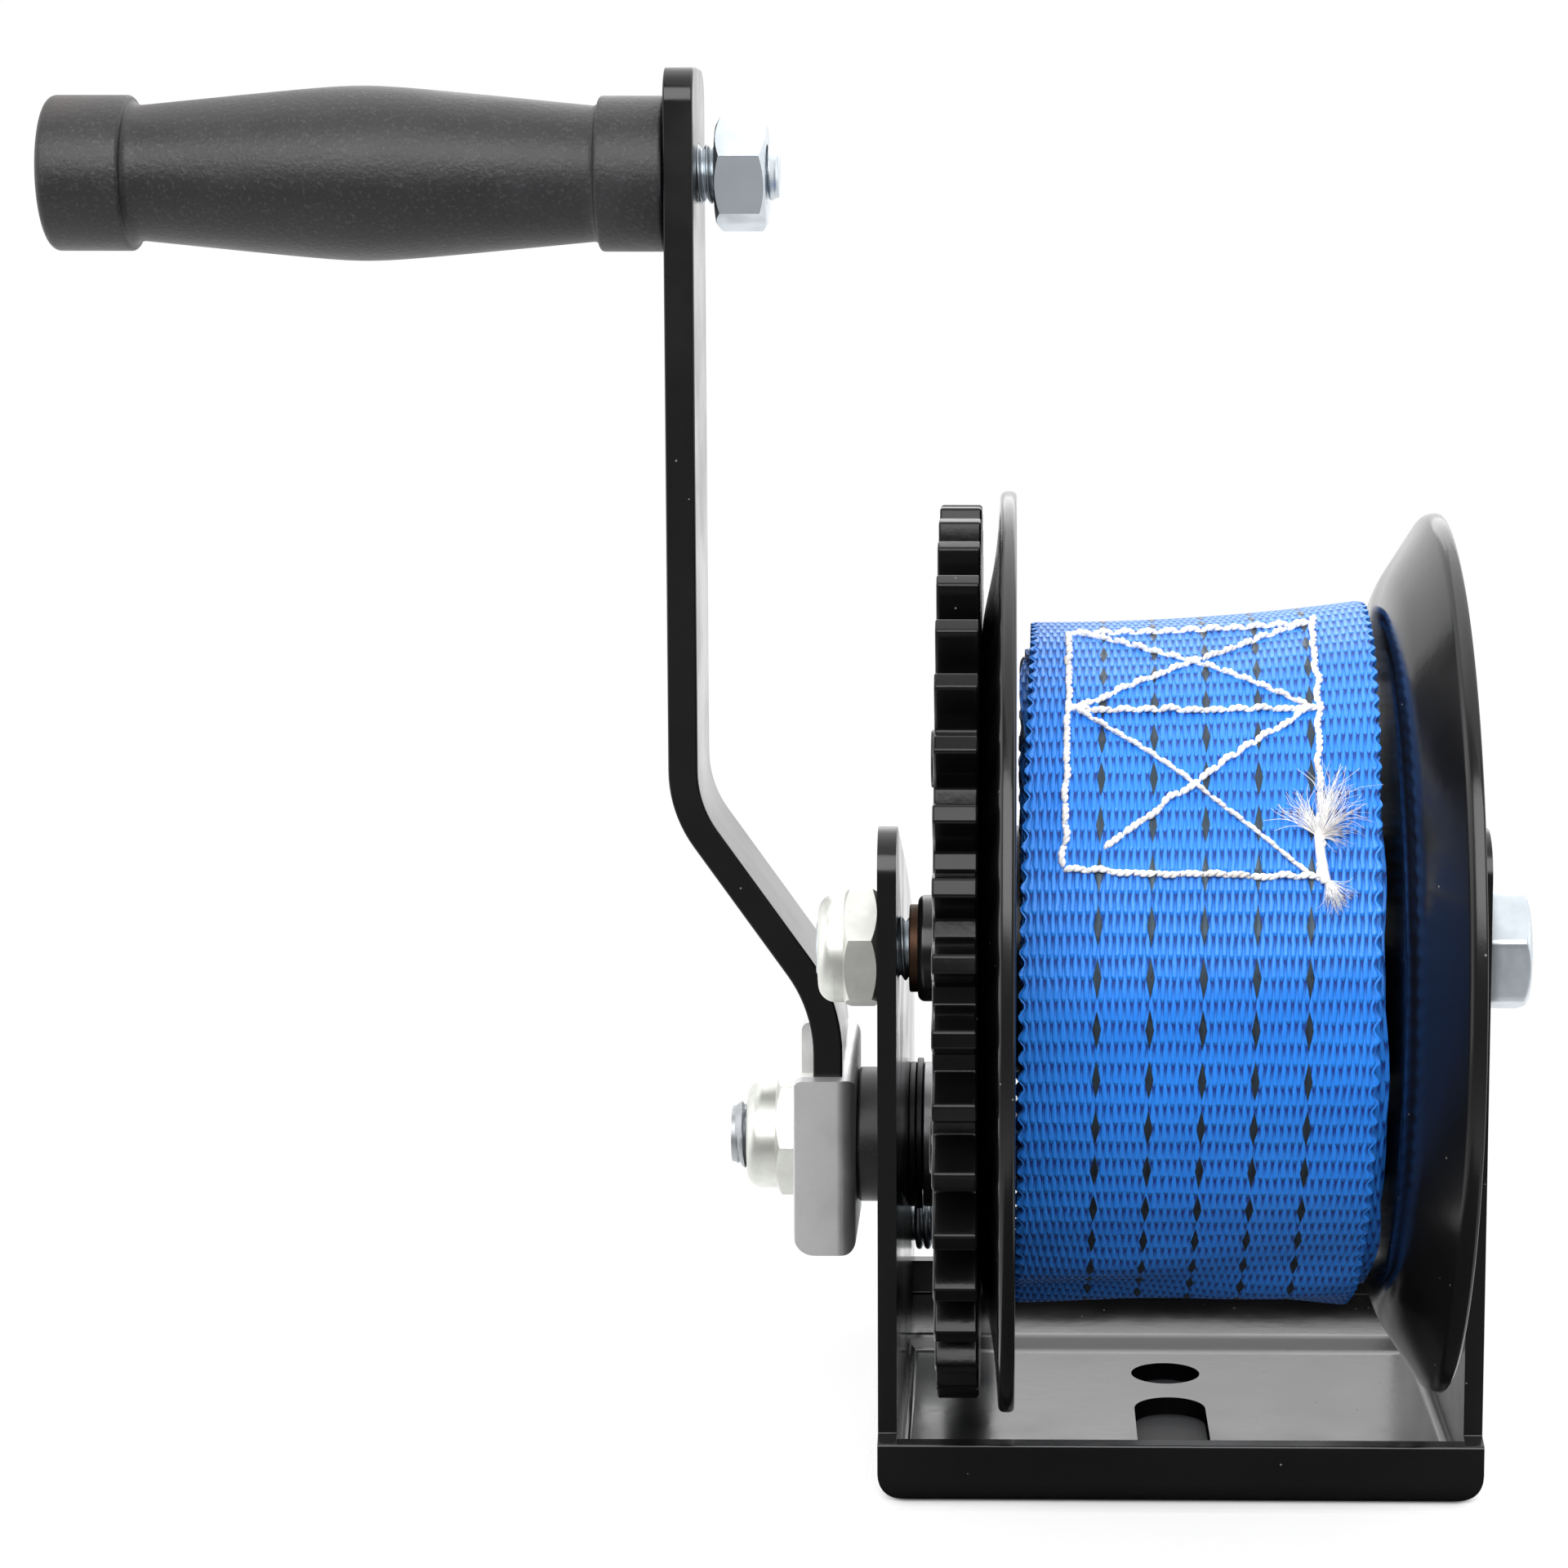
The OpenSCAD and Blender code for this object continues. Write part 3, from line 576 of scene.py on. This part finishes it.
def hex_head(axis, x_seat, x_top, flats, turn, dish=0.0, sides=96):
    """A forged hexagon head: flats, corners turned off at 30 degrees, and a round pad on top."""
    way = 1 if x_top > x_seat else -1
    half = flats / 2
    points = []
    height = abs(x_top - x_seat)

    def hex_r(angle):
        local = ((angle - turn + 30) % 60) - 30
        return half / math.cos(math.radians(30 - abs(local)))

    pad = half * 0.95
    levels = [0.0, 0.06, 0.3, 0.6, 0.8, 0.88, 0.94, 0.98]
    for level in levels:
        for k in range(sides):
            angle = 360 * k / sides
            r = hex_r(angle)
            limit = height - (r - pad) * math.tan(math.radians(30)) if r > pad else height
            limit = max(limit, height * 0.4)
            foot = 0.12 if level == 0 else 0.0
            x = x_seat + way * min(level / levels[-1] * limit, limit)
            points.append(around(axis, x, r - foot, angle))
    rings = ((pad, 1.0), (pad * 0.98, 1.012), (pad * 0.6, 1.0 + dish), (0.01, 1.0 + dish))
    for ring_r, share in rings:
        for k in range(sides):
            points.append(around(axis, x_seat + way * height * share, ring_r, 360 * k / sides))
    faces = grid_faces(len(levels) + len(rings), sides)
    return points, faces


# ---------------------------------------------------------------- camera, lights, floor

def make_camera():
    """A long lens from the front, a little left of the drum and above the handle's axis."""
    camera = bpy.data.objects.new("camera", bpy.data.cameras.new("camera"))
    bpy.context.scene.collection.objects.link(camera)
    camera.location = (-0.02631, -0.61871, 0.19606)
    yaw, pitch, roll = math.radians(0.53), math.radians(7.5), math.radians(0.09)
    ahead = Vector((-math.sin(yaw) * math.cos(pitch), math.cos(yaw) * math.cos(pitch), -math.sin(pitch)))
    camera.rotation_mode = "QUATERNION"
    turn = ahead.to_track_quat("-Z", "Y").to_matrix() @ Matrix.Rotation(roll, 3, "Z")
    camera.rotation_quaternion = turn.to_quaternion()
    camera.data.sensor_width = 36
    camera.data.lens = 86.94
    camera.data.shift_x = -0.1226
    camera.data.shift_y = -0.0435
    camera.data.clip_start = 0.01
    camera.data.clip_end = 50
    bpy.context.scene.camera = camera


def area_light(name, place, target, size, power):
    light = bpy.data.lights.new(name, "AREA")
    light.shape = "RECTANGLE"
    light.size, light.size_y = size
    light.energy = power
    made = bpy.data.objects.new(name, light)
    bpy.context.scene.collection.objects.link(made)
    made.location = place
    made.rotation_mode = "QUATERNION"
    made.rotation_quaternion = (Vector(target) - Vector(place)).to_track_quat("-Z", "Y")


def make_studio():
    """Five soft boxes, the surround, the floor and a dark card under the drum."""
    centre = (0.0, -0.03, 0.1)
    for name, place, size, power in (
        ("key", (-0.15, -1.25, 0.9), (2.0, 1.0), 36),
        ("top", (0.1, 0.1, 1.5), (2.2, 2.0), 15),
        ("left", (-1.3, -0.2, 0.4), (1.0, 1.4), 6.5),
        ("right", (1.3, -0.2, 0.4), (1.0, 1.4), 7),
        ("back", (0.3, 1.4, 0.9), (1.6, 0.8), 6),
    ):
        area_light(name, place, centre, size, power)
    make_surround()
    make_floor()
    make_shade_card()


def make_surround():
    """A surround that is white to the camera, bright behind the winch and dim in front of it.

    Straight below it is bright to glossy rays and dim to diffuse ones.
    """
    world = bpy.data.worlds.new("studio")
    bpy.context.scene.world = world
    world.use_nodes = True
    tree = world.node_tree

    def ramp(value, low, high, to_low, to_high):
        made = tree.nodes.new("ShaderNodeMapRange")
        made.interpolation_type = "SMOOTHSTEP"
        for socket, given in zip(made.inputs, (value, low, high, to_low, to_high)):
            if isinstance(given, bpy.types.NodeSocket):
                tree.links.new(given, socket)
            else:
                socket.default_value = given
        return made.outputs["Result"]

    apart = tree.nodes.new("ShaderNodeSeparateXYZ")
    tree.links.new(tree.nodes.new("ShaderNodeTexCoord").outputs["Generated"], apart.inputs[0])
    rays = tree.nodes.new("ShaderNodeLightPath").outputs
    below = ramp(rays["Is Diffuse Ray"], 0.0, 1.0, 1.0, 0.25)
    front = ramp(apart.outputs["Z"], -0.8, -0.2, below, 0.2)
    around_it = ramp(apart.outputs["Y"], -0.35, 0.35, front, 1.3)
    seen = ramp(rays["Is Camera Ray"], 0.0, 1.0, around_it, 1.0)
    background = tree.nodes["Background"]
    background.inputs["Color"].default_value = (1, 1, 1, 1)
    tree.links.new(seen, background.inputs["Strength"])


def stage_piece(name, points, faces, material):
    """A part of the studio, which isn't part of the object."""
    mesh = bpy.data.meshes.new(name)
    mesh.from_pydata(points, [], faces)
    mesh.materials.append(material)
    piece = bpy.data.objects.new(name, mesh)
    bpy.context.scene.collection.objects.link(piece)
    piece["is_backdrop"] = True
    return piece


def make_floor():
    """A round floor, left out of glossy reflections."""
    sides = 72
    radius = 4.0
    turns = [2 * math.pi * k / sides for k in range(sides)]
    points = [(0, 0, 0)] + [(radius * math.cos(a), radius * math.sin(a), 0) for a in turns]
    faces = [(0, k + 1, (k + 1) % sides + 1) for k in range(sides)]
    floor = stage_piece("floor", points, faces, floor_paint())
    floor.visible_glossy = False


def make_shade_card():
    """A dark card just under the floor, hidden from the camera."""
    half, front, back, level = 0.05, -0.175, 0.04, -0.001
    corners = [(x, y, level) for x, y in ((-half, front), (half, front), (half, back), (-half, back))]
    card = stage_piece("shade_card", corners, [(0, 1, 2, 3)], shade_cloth())
    card.visible_camera = False


# ---------------------------------------------------------------- the strap

# Angles are in degrees from +Y towards +Z, and u is the place across the strap from its left edge.
STRAP_MID = (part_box("strap_roll")[0].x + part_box("strap_roll")[1].x) / 2 / MM
HUB_R = 19.0
ROLL_R = 48.0
FLAP_R = 53.3                      # outside of the sewn end, in front
FOLD_AT = 52.0                     # the folded end
FLAP_END = 352.0                   # where the sewn end runs into the roll
SEW_ROWS = (100.0, 127.0, 157.0)   # the stitched lines across
SEW_LEFT, SEW_RIGHT = 5.6, 41.6    # the stitched lines along
SCALLOP = 0.42


def ease(value, low, high):
    """0 below low, 1 above high and a smooth rise between."""
    s = min(max((value - low) / (high - low), 0.0), 1.0)
    return s * s * (3 - 2 * s)


def drift(angle):
    """How far the sewn end sits to the right: it is wound slightly askew."""
    return 2.0 - 1.9 * ease(angle, 84, 185) - 0.5 * ease(angle, 185, 265)


def flap_r(angle, u):
    """Outside radius of the sewn end.

    It stands off the roll at the top, more so at the right edge, is creased low in front
    and draws in to the roll at its tail.
    """
    across = u / STRAP_W - 0.5
    top = 1 - ease(angle, 84, 175)
    base = FLAP_R - 1.4 * top + (3.3 * top + 0.5) * across - top * (1 - 4 * across * across)
    low = ease(angle, 212, 236) * (1 - ease(angle, 258, 290))
    creases = ((0.55 * low, 15, 330, 0), (0.45 * low, 8, -250, 0.6), (0.16, 5.3, 90, 1.1), (0.12, 19, 200, 0))
    ripple = 0.0
    for depth, often, skew, phase in creases:
        ripple += depth * math.sin(math.radians(angle * often + skew * across) + phase)
    tail = ease(angle, 295, FLAP_END)
    return base + ripple * (1 - tail) - 3.7 * tail


def roll_centre_r(angle, r):
    """The wound turns sag: the roll is thinner on top than below."""
    share = (r - HUB_R) / (ROLL_R - HUB_R)
    return r - 2.6 * share * math.cos(math.radians(angle - 84))


def ribbon(name, stations, columns, replaces=()):
    """Webbing with round edges. A station is (mm along, function of u and lift that gives a point)."""
    edge = 0.16
    section = [("out", STRAP_W * k / columns) for k in range(columns + 1)]
    section += [("in", u) for u in (STRAP_W, STRAP_W * 0.66, STRAP_W * 0.33, 0.0)]
    points, weave = [], []
    for along, place in stations:
        for side, u in section:
            end = min(u, STRAP_W - u)
            inset = edge * (1 - min(end / 0.7, 1.0)) ** 2
            points.append(place(u, -inset if side == "out" else -STRAP_T + inset))
            weave.append((u, along))
    faces = grid_faces(len(stations), len(section))
    faces.append(tuple(range(len(section) - 1, -1, -1)))
    last = (len(stations) - 1) * len(section)
    faces.append(tuple(last + k for k in range(len(section))))
    piece = add_piece(name, points, faces, "blue_webbing", "drum", "blue_webbing", replaces)
    layer = piece.data.uv_layers.new(name="weave")
    loops = np.zeros(len(piece.data.loops), np.int32)
    piece.data.loops.foreach_get("vertex_index", loops)
    table = np.array(weave, np.float32)
    layer.data.foreach_set("uv", table[loops].ravel())
    smooth_by_angle(piece, 60)
    return piece


def scallop(u, along):
    """The selvedge swells a little where each weft turns back."""
    end = min(u, STRAP_W - u)
    way = -1 if u < STRAP_W / 2 else 1
    return way * SCALLOP * max(0.0, 1 - end / 1.2) * math.sin(2 * math.pi * along / (ROW / 2))


def make_roll():
    """The wound strap as one spiral that ends where the sewn end begins.

    Its turns lie a little to the left or right of each other.
    """
    turns = (ROLL_R - HUB_R) / STRAP_T
    per_turn = 90
    count = int(turns * per_turn)
    shifts = [random.uniform(-0.6, 0.6) for _ in range(int(turns) + 3)]
    stations = []
    along = 0.0
    first = FLAP_END + 360 * turns
    for i in range(count + 1):
        angle = first - 360 * i / per_turn
        turn = i / per_turn
        r = HUB_R + STRAP_T * turn + STRAP_T
        lean = shifts[int(turn)] * (1 - turn % 1) + shifts[int(turn) + 1] * (turn % 1)
        lean += 1.7 * (r - HUB_R) / (ROLL_R - HUB_R) * (1 - math.sin(math.radians(angle))) / 2 - 0.2

        def place(u, lift, angle=angle, r=r, lean=lean, along=along):
            x = STRAP_MID + lean + (u - STRAP_W / 2) + scallop(u, along)
            return around(AXLE, x, roll_centre_r(angle, r) + lift, angle)

        stations.append((along, place))
        along += math.radians(360 / per_turn) * r
    return ribbon("strap_turns", stations, 24, ("strap_roll",))


def flap_point(angle, u, lift, along=None):
    """A point at a lift above the sewn end; only the strap itself, which gives along, is scalloped."""
    x = STRAP_MID + drift(angle) - 0.9 + (u - STRAP_W / 2)
    if along is not None:
        x += scallop(u, along)
    return around(AXLE, x, flap_r(angle, u) + lift, angle)


def make_flap():
    """The strap's outer end: round the drum, folded into an eye behind the top, and back underneath."""
    mean_r = 53.0
    step, under_step = 0.55, 1.5
    count = int(math.radians(FLAP_END - FOLD_AT) * mean_r / step)
    stations = []
    for i in range(count + 1):
        angle = FLAP_END - (FLAP_END - FOLD_AT) * i / count
        along = i * step

        def place(u, lift, angle=angle, along=along):
            return flap_point(angle, u, lift, along)

        stations.append((along, place))
    eye = 2.6
    turn_steps = 14
    for i in range(1, turn_steps + 1):
        a = math.pi * i / turn_steps
        along = count * step + eye * a

        def place(u, lift, a=a, along=along):
            back = math.degrees((eye + lift) * math.sin(a) / mean_r)
            return flap_point(FOLD_AT - back, u, (eye + lift) * math.cos(a) - eye, along)

        stations.append((along, place))
    under = math.radians(SEW_ROWS[2] + 10 - FOLD_AT) * mean_r
    under_count = int(under / under_step)
    base_along = count * step + eye * math.pi
    for i in range(1, under_count + 1):
        share = i / under_count
        angle = FOLD_AT + share * math.degrees(under / mean_r)
        close = ease(share, 0.05, 0.5)
        gap = 2 * eye * (1 - close) + (2 * STRAP_T + 0.1) * close
        along = base_along + i * under_step

        def place(u, lift, angle=angle, gap=gap, along=along):
            return flap_point(angle, u, -gap - lift, along)

        stations.append((along, place))
    return ribbon("strap_sewn_flap", stations, 100, ("strap_sewn_end",))


STITCH = 3.3       # mm from hole to hole
PLY_R = 0.29       # one ply's radius
PLY_OFF = 0.25     # and its distance from the thread's middle
PLY_TWISTS = 1.6   # turns in one stitch


def ply_taper(s):
    """A ply swells in the middle of its stitch."""
    return 0.75 + 0.4 * math.sin(math.pi * s) ** 0.5


def stitch_run(start, end):
    """Two-ply thread from stitch hole to stitch hole between two (angle, u) points on the sewn end."""
    swing, shift = end[0] - start[0], end[1] - start[1]
    length = math.hypot(math.radians(swing) * FLAP_R, shift)
    count = max(1, round(length / STITCH))
    parts = []
    steps = 12
    for n in range(count):
        lean = random.uniform(-0.4, 0.4)
        high = random.uniform(0.85, 1.15)
        phase = random.uniform(0, math.pi)
        for ply in (0, math.pi):
            path = []
            for i in range(steps + 1):
                f = i / steps
                share = (n + f) / count
                arch = math.sin(math.pi * f)
                twist = ply + phase + 2 * math.pi * f * PLY_TWISTS
                side = lean * arch + PLY_OFF * math.cos(twist)
                angle = start[0] + swing * share + math.degrees(side / FLAP_R) * abs(shift) / length
                u = start[1] + shift * share + side * math.radians(abs(swing)) * FLAP_R / length
                lift = -0.35 + 0.85 * high * arch ** 0.55 + PLY_OFF * math.sin(twist)
                path.append(flap_point(angle, u, lift))
            parts.append(sweep(path, PLY_R * MM, 6, taper=ply_taper))
    return parts


def make_stitching():
    """Two sewn boxes, one above the other, each with a cross; the lower cross stops short."""
    rows = SEW_ROWS
    inner_left, inner_right = SEW_LEFT + 1.2, SEW_RIGHT - 1.0
    tilt = 1.2
    box_high, box_wide = 30, 36
    parts = stitch_run((rows[0], SEW_LEFT), (rows[2] - 0.4, SEW_LEFT))
    parts += stitch_run((rows[0] - 1, SEW_RIGHT), (rows[2] + tilt, SEW_RIGHT))
    for row in rows:
        parts += stitch_run((row, SEW_LEFT), (row + tilt, SEW_RIGHT))
    for top, bottom, short in ((rows[0], rows[1], 0.0), (rows[1], rows[2], 0.12)):
        parts += stitch_run((top, inner_left), (bottom + tilt, inner_right))
        foot = (bottom - short * box_high, inner_left + short * box_wide)
        parts += stitch_run(foot, (top + tilt, inner_right))
    points, faces = join_parts(parts)
    add_piece("strap_stitching", points, faces, "white_thread", "drum")


FRAY_LIFT = 0.35   # mm from the strap to the middle of a loose thread


def fan(angle, u, heading, spread, length, count, rise):
    """Fibres that spread from one place, with a heading from straight down the strap."""
    parts = []
    for _ in range(count):
        way = heading + random.gauss(0, spread)
        reach = length * random.uniform(0.6, 1.05)
        curl = random.gauss(0, 14)
        path = []
        for i in range(9):
            f = i / 8
            a = math.radians(way + curl * f * f)
            d = reach * f
            lift = FRAY_LIFT + rise * math.sin(math.pi * min(f, 0.9)) * random.uniform(0.9, 1.1)
            path.append(flap_point(angle - math.degrees(d * math.cos(a) / FLAP_R), u + d * math.sin(a), lift))
        parts.append(sweep(path, random.uniform(0.03, 0.055) * MM, 3, taper=lambda s: 1.15 - 0.5 * s))
    return parts


def make_frayed_ends():
    """Loose thread ends by the lower right corner of the sewn boxes, teased out into fibres."""
    root_angle, root_u = SEW_ROWS[2] - 5.0, SEW_RIGHT - 0.2
    parts = []
    for heading, spread, length, count, rise in (
        (14, 7, 11.5, 60, 1.8),
        (40, 11, 8.5, 40, 1.5),
        (-36, 13, 8.0, 54, 1.5),
        (84, 20, 5.5, 30, 1.1),
    ):
        parts += fan(root_angle, root_u, heading, spread, length, count, rise)
    parts += fan(root_angle + 6.5, root_u + 0.9, 150, 15, 5.2, 80, 1.0)
    for u_off, before, after in ((0.1, 1, 7), (-0.25, 3, 5)):
        start, end = root_angle - before, root_angle + after
        path = []
        for i in range(15):
            f = i / 14
            lift = FRAY_LIFT + 0.3 * math.sin(math.pi * f)
            path.append(flap_point(start + (end - start) * f, root_u + u_off + 0.9 * f * f, lift))
        parts.append(sweep(path, 0.5 * MM, 8, taper=lambda s: 1.0 + 0.6 * s))
    points, faces = join_parts(parts)
    add_piece("strap_thread_ends", points, faces, "white_thread", "drum")


# ---------------------------------------------------------------- bolts, shaft and grip

M10_R = 5.0
M10_PITCH = 1.5
M10_FLATS = 17
M10_TIP_R = 3.9
CHAMFER = 0.6
HEAD_DISH = -0.02   # share of a head's height


def make_bolts():
    """Both M10 bolts again, with cut threads and forged heads."""
    low, high = (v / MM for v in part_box("axle_bolt"))
    seat = high.x - 6.4
    thread_x = -30
    shank, faces, rows = thread_grid(AXLE, thread_x, low.x + CHAMFER, M10_R, M10_PITCH)
    tip = capped(shank, faces, rows, AXLE, low.x, M10_TIP_R)
    body = revolved(AXLE, [(seat, M10_R), (thread_x, M10_R)])
    head = hex_head(AXLE, seat, high.x, M10_FLATS, 42.5, HEAD_DISH)
    points, faces = join_parts([tip, body, head])
    add_piece("axle_bolt_threaded", points, faces, "zinc", "frame", "zinc", ("axle_bolt",))

    low, high = (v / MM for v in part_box("handle_bolt"))
    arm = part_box("crank_arm")[0].x / MM
    shank, faces, rows = thread_grid(HANDLE, arm, high.x - CHAMFER, M10_R - 0.02, M10_PITCH)
    tip = capped(shank, faces, rows, HANDLE, high.x, M10_TIP_R)
    body = revolved(HANDLE, [(low.x + 6, M10_R), (arm, M10_R)])
    head = hex_head(HANDLE, low.x + 6.4, low.x, M10_FLATS, 0, HEAD_DISH)
    points, faces = join_parts([tip, body, head])
    add_piece("handle_bolt_threaded", points, faces, "zinc", "drive", "zinc", ("handle_bolt",))


def make_drive_shaft():
    """The drive shaft with its clip grooves, chamfered end and M12 crank end."""
    low, high = (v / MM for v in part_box("drive_shaft"))
    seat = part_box("crank_bracket")[1].x / MM
    shaft_r, stub_r, groove_r, end_r = 8, 5.98, 6.8, 7.3
    thread_x = seat - 6
    shank, faces, rows = thread_grid(DRIVE, thread_x, low.x + CHAMFER, stub_r, 1.75)
    tip = capped(shank, faces, rows, DRIVE, low.x, 4.8)
    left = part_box("left_shaft_clip")[0].x / MM - 0.1
    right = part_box("right_shaft_clip")[1].x / MM + 0.1
    profile = [(thread_x, stub_r), (seat, stub_r), (seat, shaft_r)]
    for x0, x1 in ((left, left + 1.2), (right - 1.2, right)):
        profile += [(x0, shaft_r), (x0, groove_r), (x1, groove_r), (x1, shaft_r)]
    profile += [(high.x - 0.7, shaft_r), (high.x, end_r), (high.x, 0)]
    points, faces = join_parts([tip, revolved(DRIVE, profile)])
    piece = add_piece(
        "drive_shaft_turned", points, faces, "shaft_steel", "drive", "bare_steel", ("drive_shaft",))
    smooth_by_angle(piece, KEEP)


def filleted(corners, steps=7):
    """A profile of [x, r] points with each corner (x, r, cut) rounded over its cut length."""
    profile = []
    for k, (x, r, cut) in enumerate(corners):
        here = Vector((x, r))
        before, after = (Vector(corners[(k + d) % len(corners)][:2]) for d in (-1, 1))
        if not cut:
            profile.append((x, r))
            continue
        start = here + (before - here).normalized() * cut
        end = here + (after - here).normalized() * cut
        for i in range(steps + 1):
            share = i / steps
            p = start * (1 - share) ** 2 + here * 2 * share * (1 - share) + end * share * share
            profile.append((p.x, p.y))
    return profile


def add_flange(node, corners):
    piece = lathe(f"{node}_pressed", AXLE, filleted(corners), "black_coat", "drum", sides=192,
                  slot="black_coat", replaces=(node,))
    smooth_by_angle(piece, 50)


def make_flanges():
    """Both pressed flanges of the drum, with soft bends and rolled rims."""
    bore = 8.25
    low, high = (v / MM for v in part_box("left_flange"))
    rim = (high.z - low.z) / 2
    add_flange("left_flange", [
        (low.x, bore, 0), (low.x, 50, 3), (low.x + 2.2, 60.5, 4), (high.x - 2.5, rim, 1.1),
        (high.x, rim, 1.1), (low.x + 4.5, 59.5, 4), (low.x + 2.5, 49.5, 3), (low.x + 2.5, bore, 0),
        (low.x, bore, 0)])
    low, high = (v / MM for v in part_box("right_flange"))
    rim = (high.z - low.z) / 2
    add_flange("right_flange", [
        (low.x, bore, 0), (low.x, 53, 2), (low.x + 1.6, 57.2, 2), (high.x - 2.4, rim - 0.4, 1.1),
        (high.x, rim, 1.2), (low.x + 4.0, 55.8, 2), (low.x + 2.5, 52, 2), (low.x + 2.5, bore, 0),
        (low.x, bore, 0)])


def make_grip():
    """The moulded grip: two collars, a waist at each end and a full middle."""
    low, high = (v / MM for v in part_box("grip"))
    left, right = low.x, high.x
    middle = left + 0.51 * (right - left)
    neck_left, neck_right = left + 15.6, right - 12.3
    collar, belly, neck = 13.0, 14.6, 11.35
    bore, counterbore_end = 5.06, left + 11
    soft = 0.16
    big, small, tight = 1.4, 0.8, 0.7

    def waist(s):
        slope = (math.sqrt(s * s + soft * soft) - soft) / (math.sqrt(1 + soft * soft) - soft)
        return belly - (belly - neck) * slope

    def quarter(count, first=0.0):
        return [(math.sin(a), math.cos(a)) for a in np.linspace(first, math.pi / 2, count)]

    profile = [(counterbore_end, bore), (counterbore_end, 10.55), (left + 0.25, 10.6), (left, 10.9)]
    profile += [(left + big - big * c, collar - big + big * s) for s, c in quarter(7, 0.1)]
    profile += [(left + 13.2 + small * s, collar - small + small * c) for s, c in quarter(6)]
    profile += [(left + 14.15, 11.9), (left + 14.6, 11.55), (left + 15.2, 11.4)]
    for reach, run in (
        (middle - neck_left, np.linspace(neck_left, middle, 30)),
        (neck_right - middle, np.linspace(middle, neck_right, 30)[1:]),
    ):
        profile += [(x, waist((x - middle) / reach)) for x in run]
    profile += [(right - 11.9, 11.45), (right - 11.5, 11.7)]
    profile += [(right - 10.6 - tight * c, collar - 0.6 + tight * s - 0.1) for s, c in quarter(5)]
    profile += [(right - tight + tight * s, collar - tight + tight * c) for s, c in quarter(5)]
    profile += [(right, bore), (counterbore_end, bore)]
    piece = lathe("grip_moulded", HANDLE, profile, "grip_plastic", "grip",
                  slot="grip_plastic", replaces=("grip",))
    smooth_by_angle(piece, 40)


def make_spring():
    """The pawl's torsion spring as one smooth wire: a leg up, the coil and a leg to the rear."""
    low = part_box("pawl_spring")[0] / MM
    wire = 0.6
    start = low.x + wire
    coil_r = 4.45
    turns, pitch, steps = 3.25, 1.45, 36
    leg = (13, 10, 6, 3)
    path = [around(PAWL, start, math.hypot(coil_r, z), math.degrees(math.atan2(z, -coil_r))) for z in leg]
    for i in range(int(turns * steps) + 1):
        path.append(around(PAWL, start + pitch * i / steps, coil_r, 180 + 10 * i))
    end_x = start + pitch * turns
    for out, back, down in ((0.2, 3, 4.5), (0.4, 8.5, 4.65)):
        path.append(Vector(((end_x + out) * MM, PAWL.y + back * MM, PAWL.z - down * MM)))
    points, faces = sweep(path, wire * MM, 12)
    add_piece("pawl_spring_wire", points, faces, "zinc", "frame", "zinc", ("pawl_spring",))


# ---------------------------------------------------------------- assembly

def dress_cad():
    """Materials and rounded edges, by a width in mm, of the CAD nodes that stay."""
    dress("frame", "black_coat", 1.2, segments=4)
    dress("drum_gear", "gear_coat", 0.8, segments=4)
    for node, material, width in (
        ("drum_hub", "black_coat", 0.2),
        ("axle_tube", "black_coat", 0.0),
        ("gear_rivets", "black_coat", 0.35),
        ("crank_arm", "black_coat", 0.75),
        ("crank_bracket", "sheet_zinc", 0.35),
        ("axle_nut", "satin_zinc", 0.2),
        ("crank_nut", "satin_zinc", 0.2),
        ("handle_nut", "zinc", 0.25),
        ("handle_washer", "zinc", 0.2),
        ("pawl_pivot_pin", "zinc", 0.3),
        ("axle_nut_insert", "nut_nylon", 0.1),
        ("crank_nut_insert", "nut_nylon", 0.1),
        ("left_bronze_bushing", "bronze", 0.25),
        ("right_bronze_bushing", "bronze", 0.25),
        ("strap_keeper_pin", "bare_steel", 0.2),
        ("pinion", "bare_steel", 0.3),
        ("left_shaft_clip", "dark_steel", 0.15),
        ("right_shaft_clip", "dark_steel", 0.15),
        ("left_shaft_bushing", "black_nylon", 0.25),
        ("right_shaft_bushing", "black_nylon", 0.25),
        ("spacer_collar", "black_nylon", 0.0),
        ("pawl", "black_coat", 0.4),
    ):
        dress(node, material, width)


make_camera()
make_studio()
bpy.context.scene.view_settings.view_transform = "Standard"
dress_cad()
make_roll()
make_flap()
make_stitching()
make_frayed_ends()
make_bolts()
make_drive_shaft()
make_flanges()
make_grip()
make_spring()

seen_low, seen_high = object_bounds()
[list(v) for v in (cad_low, cad_high, seen_low, seen_high)]
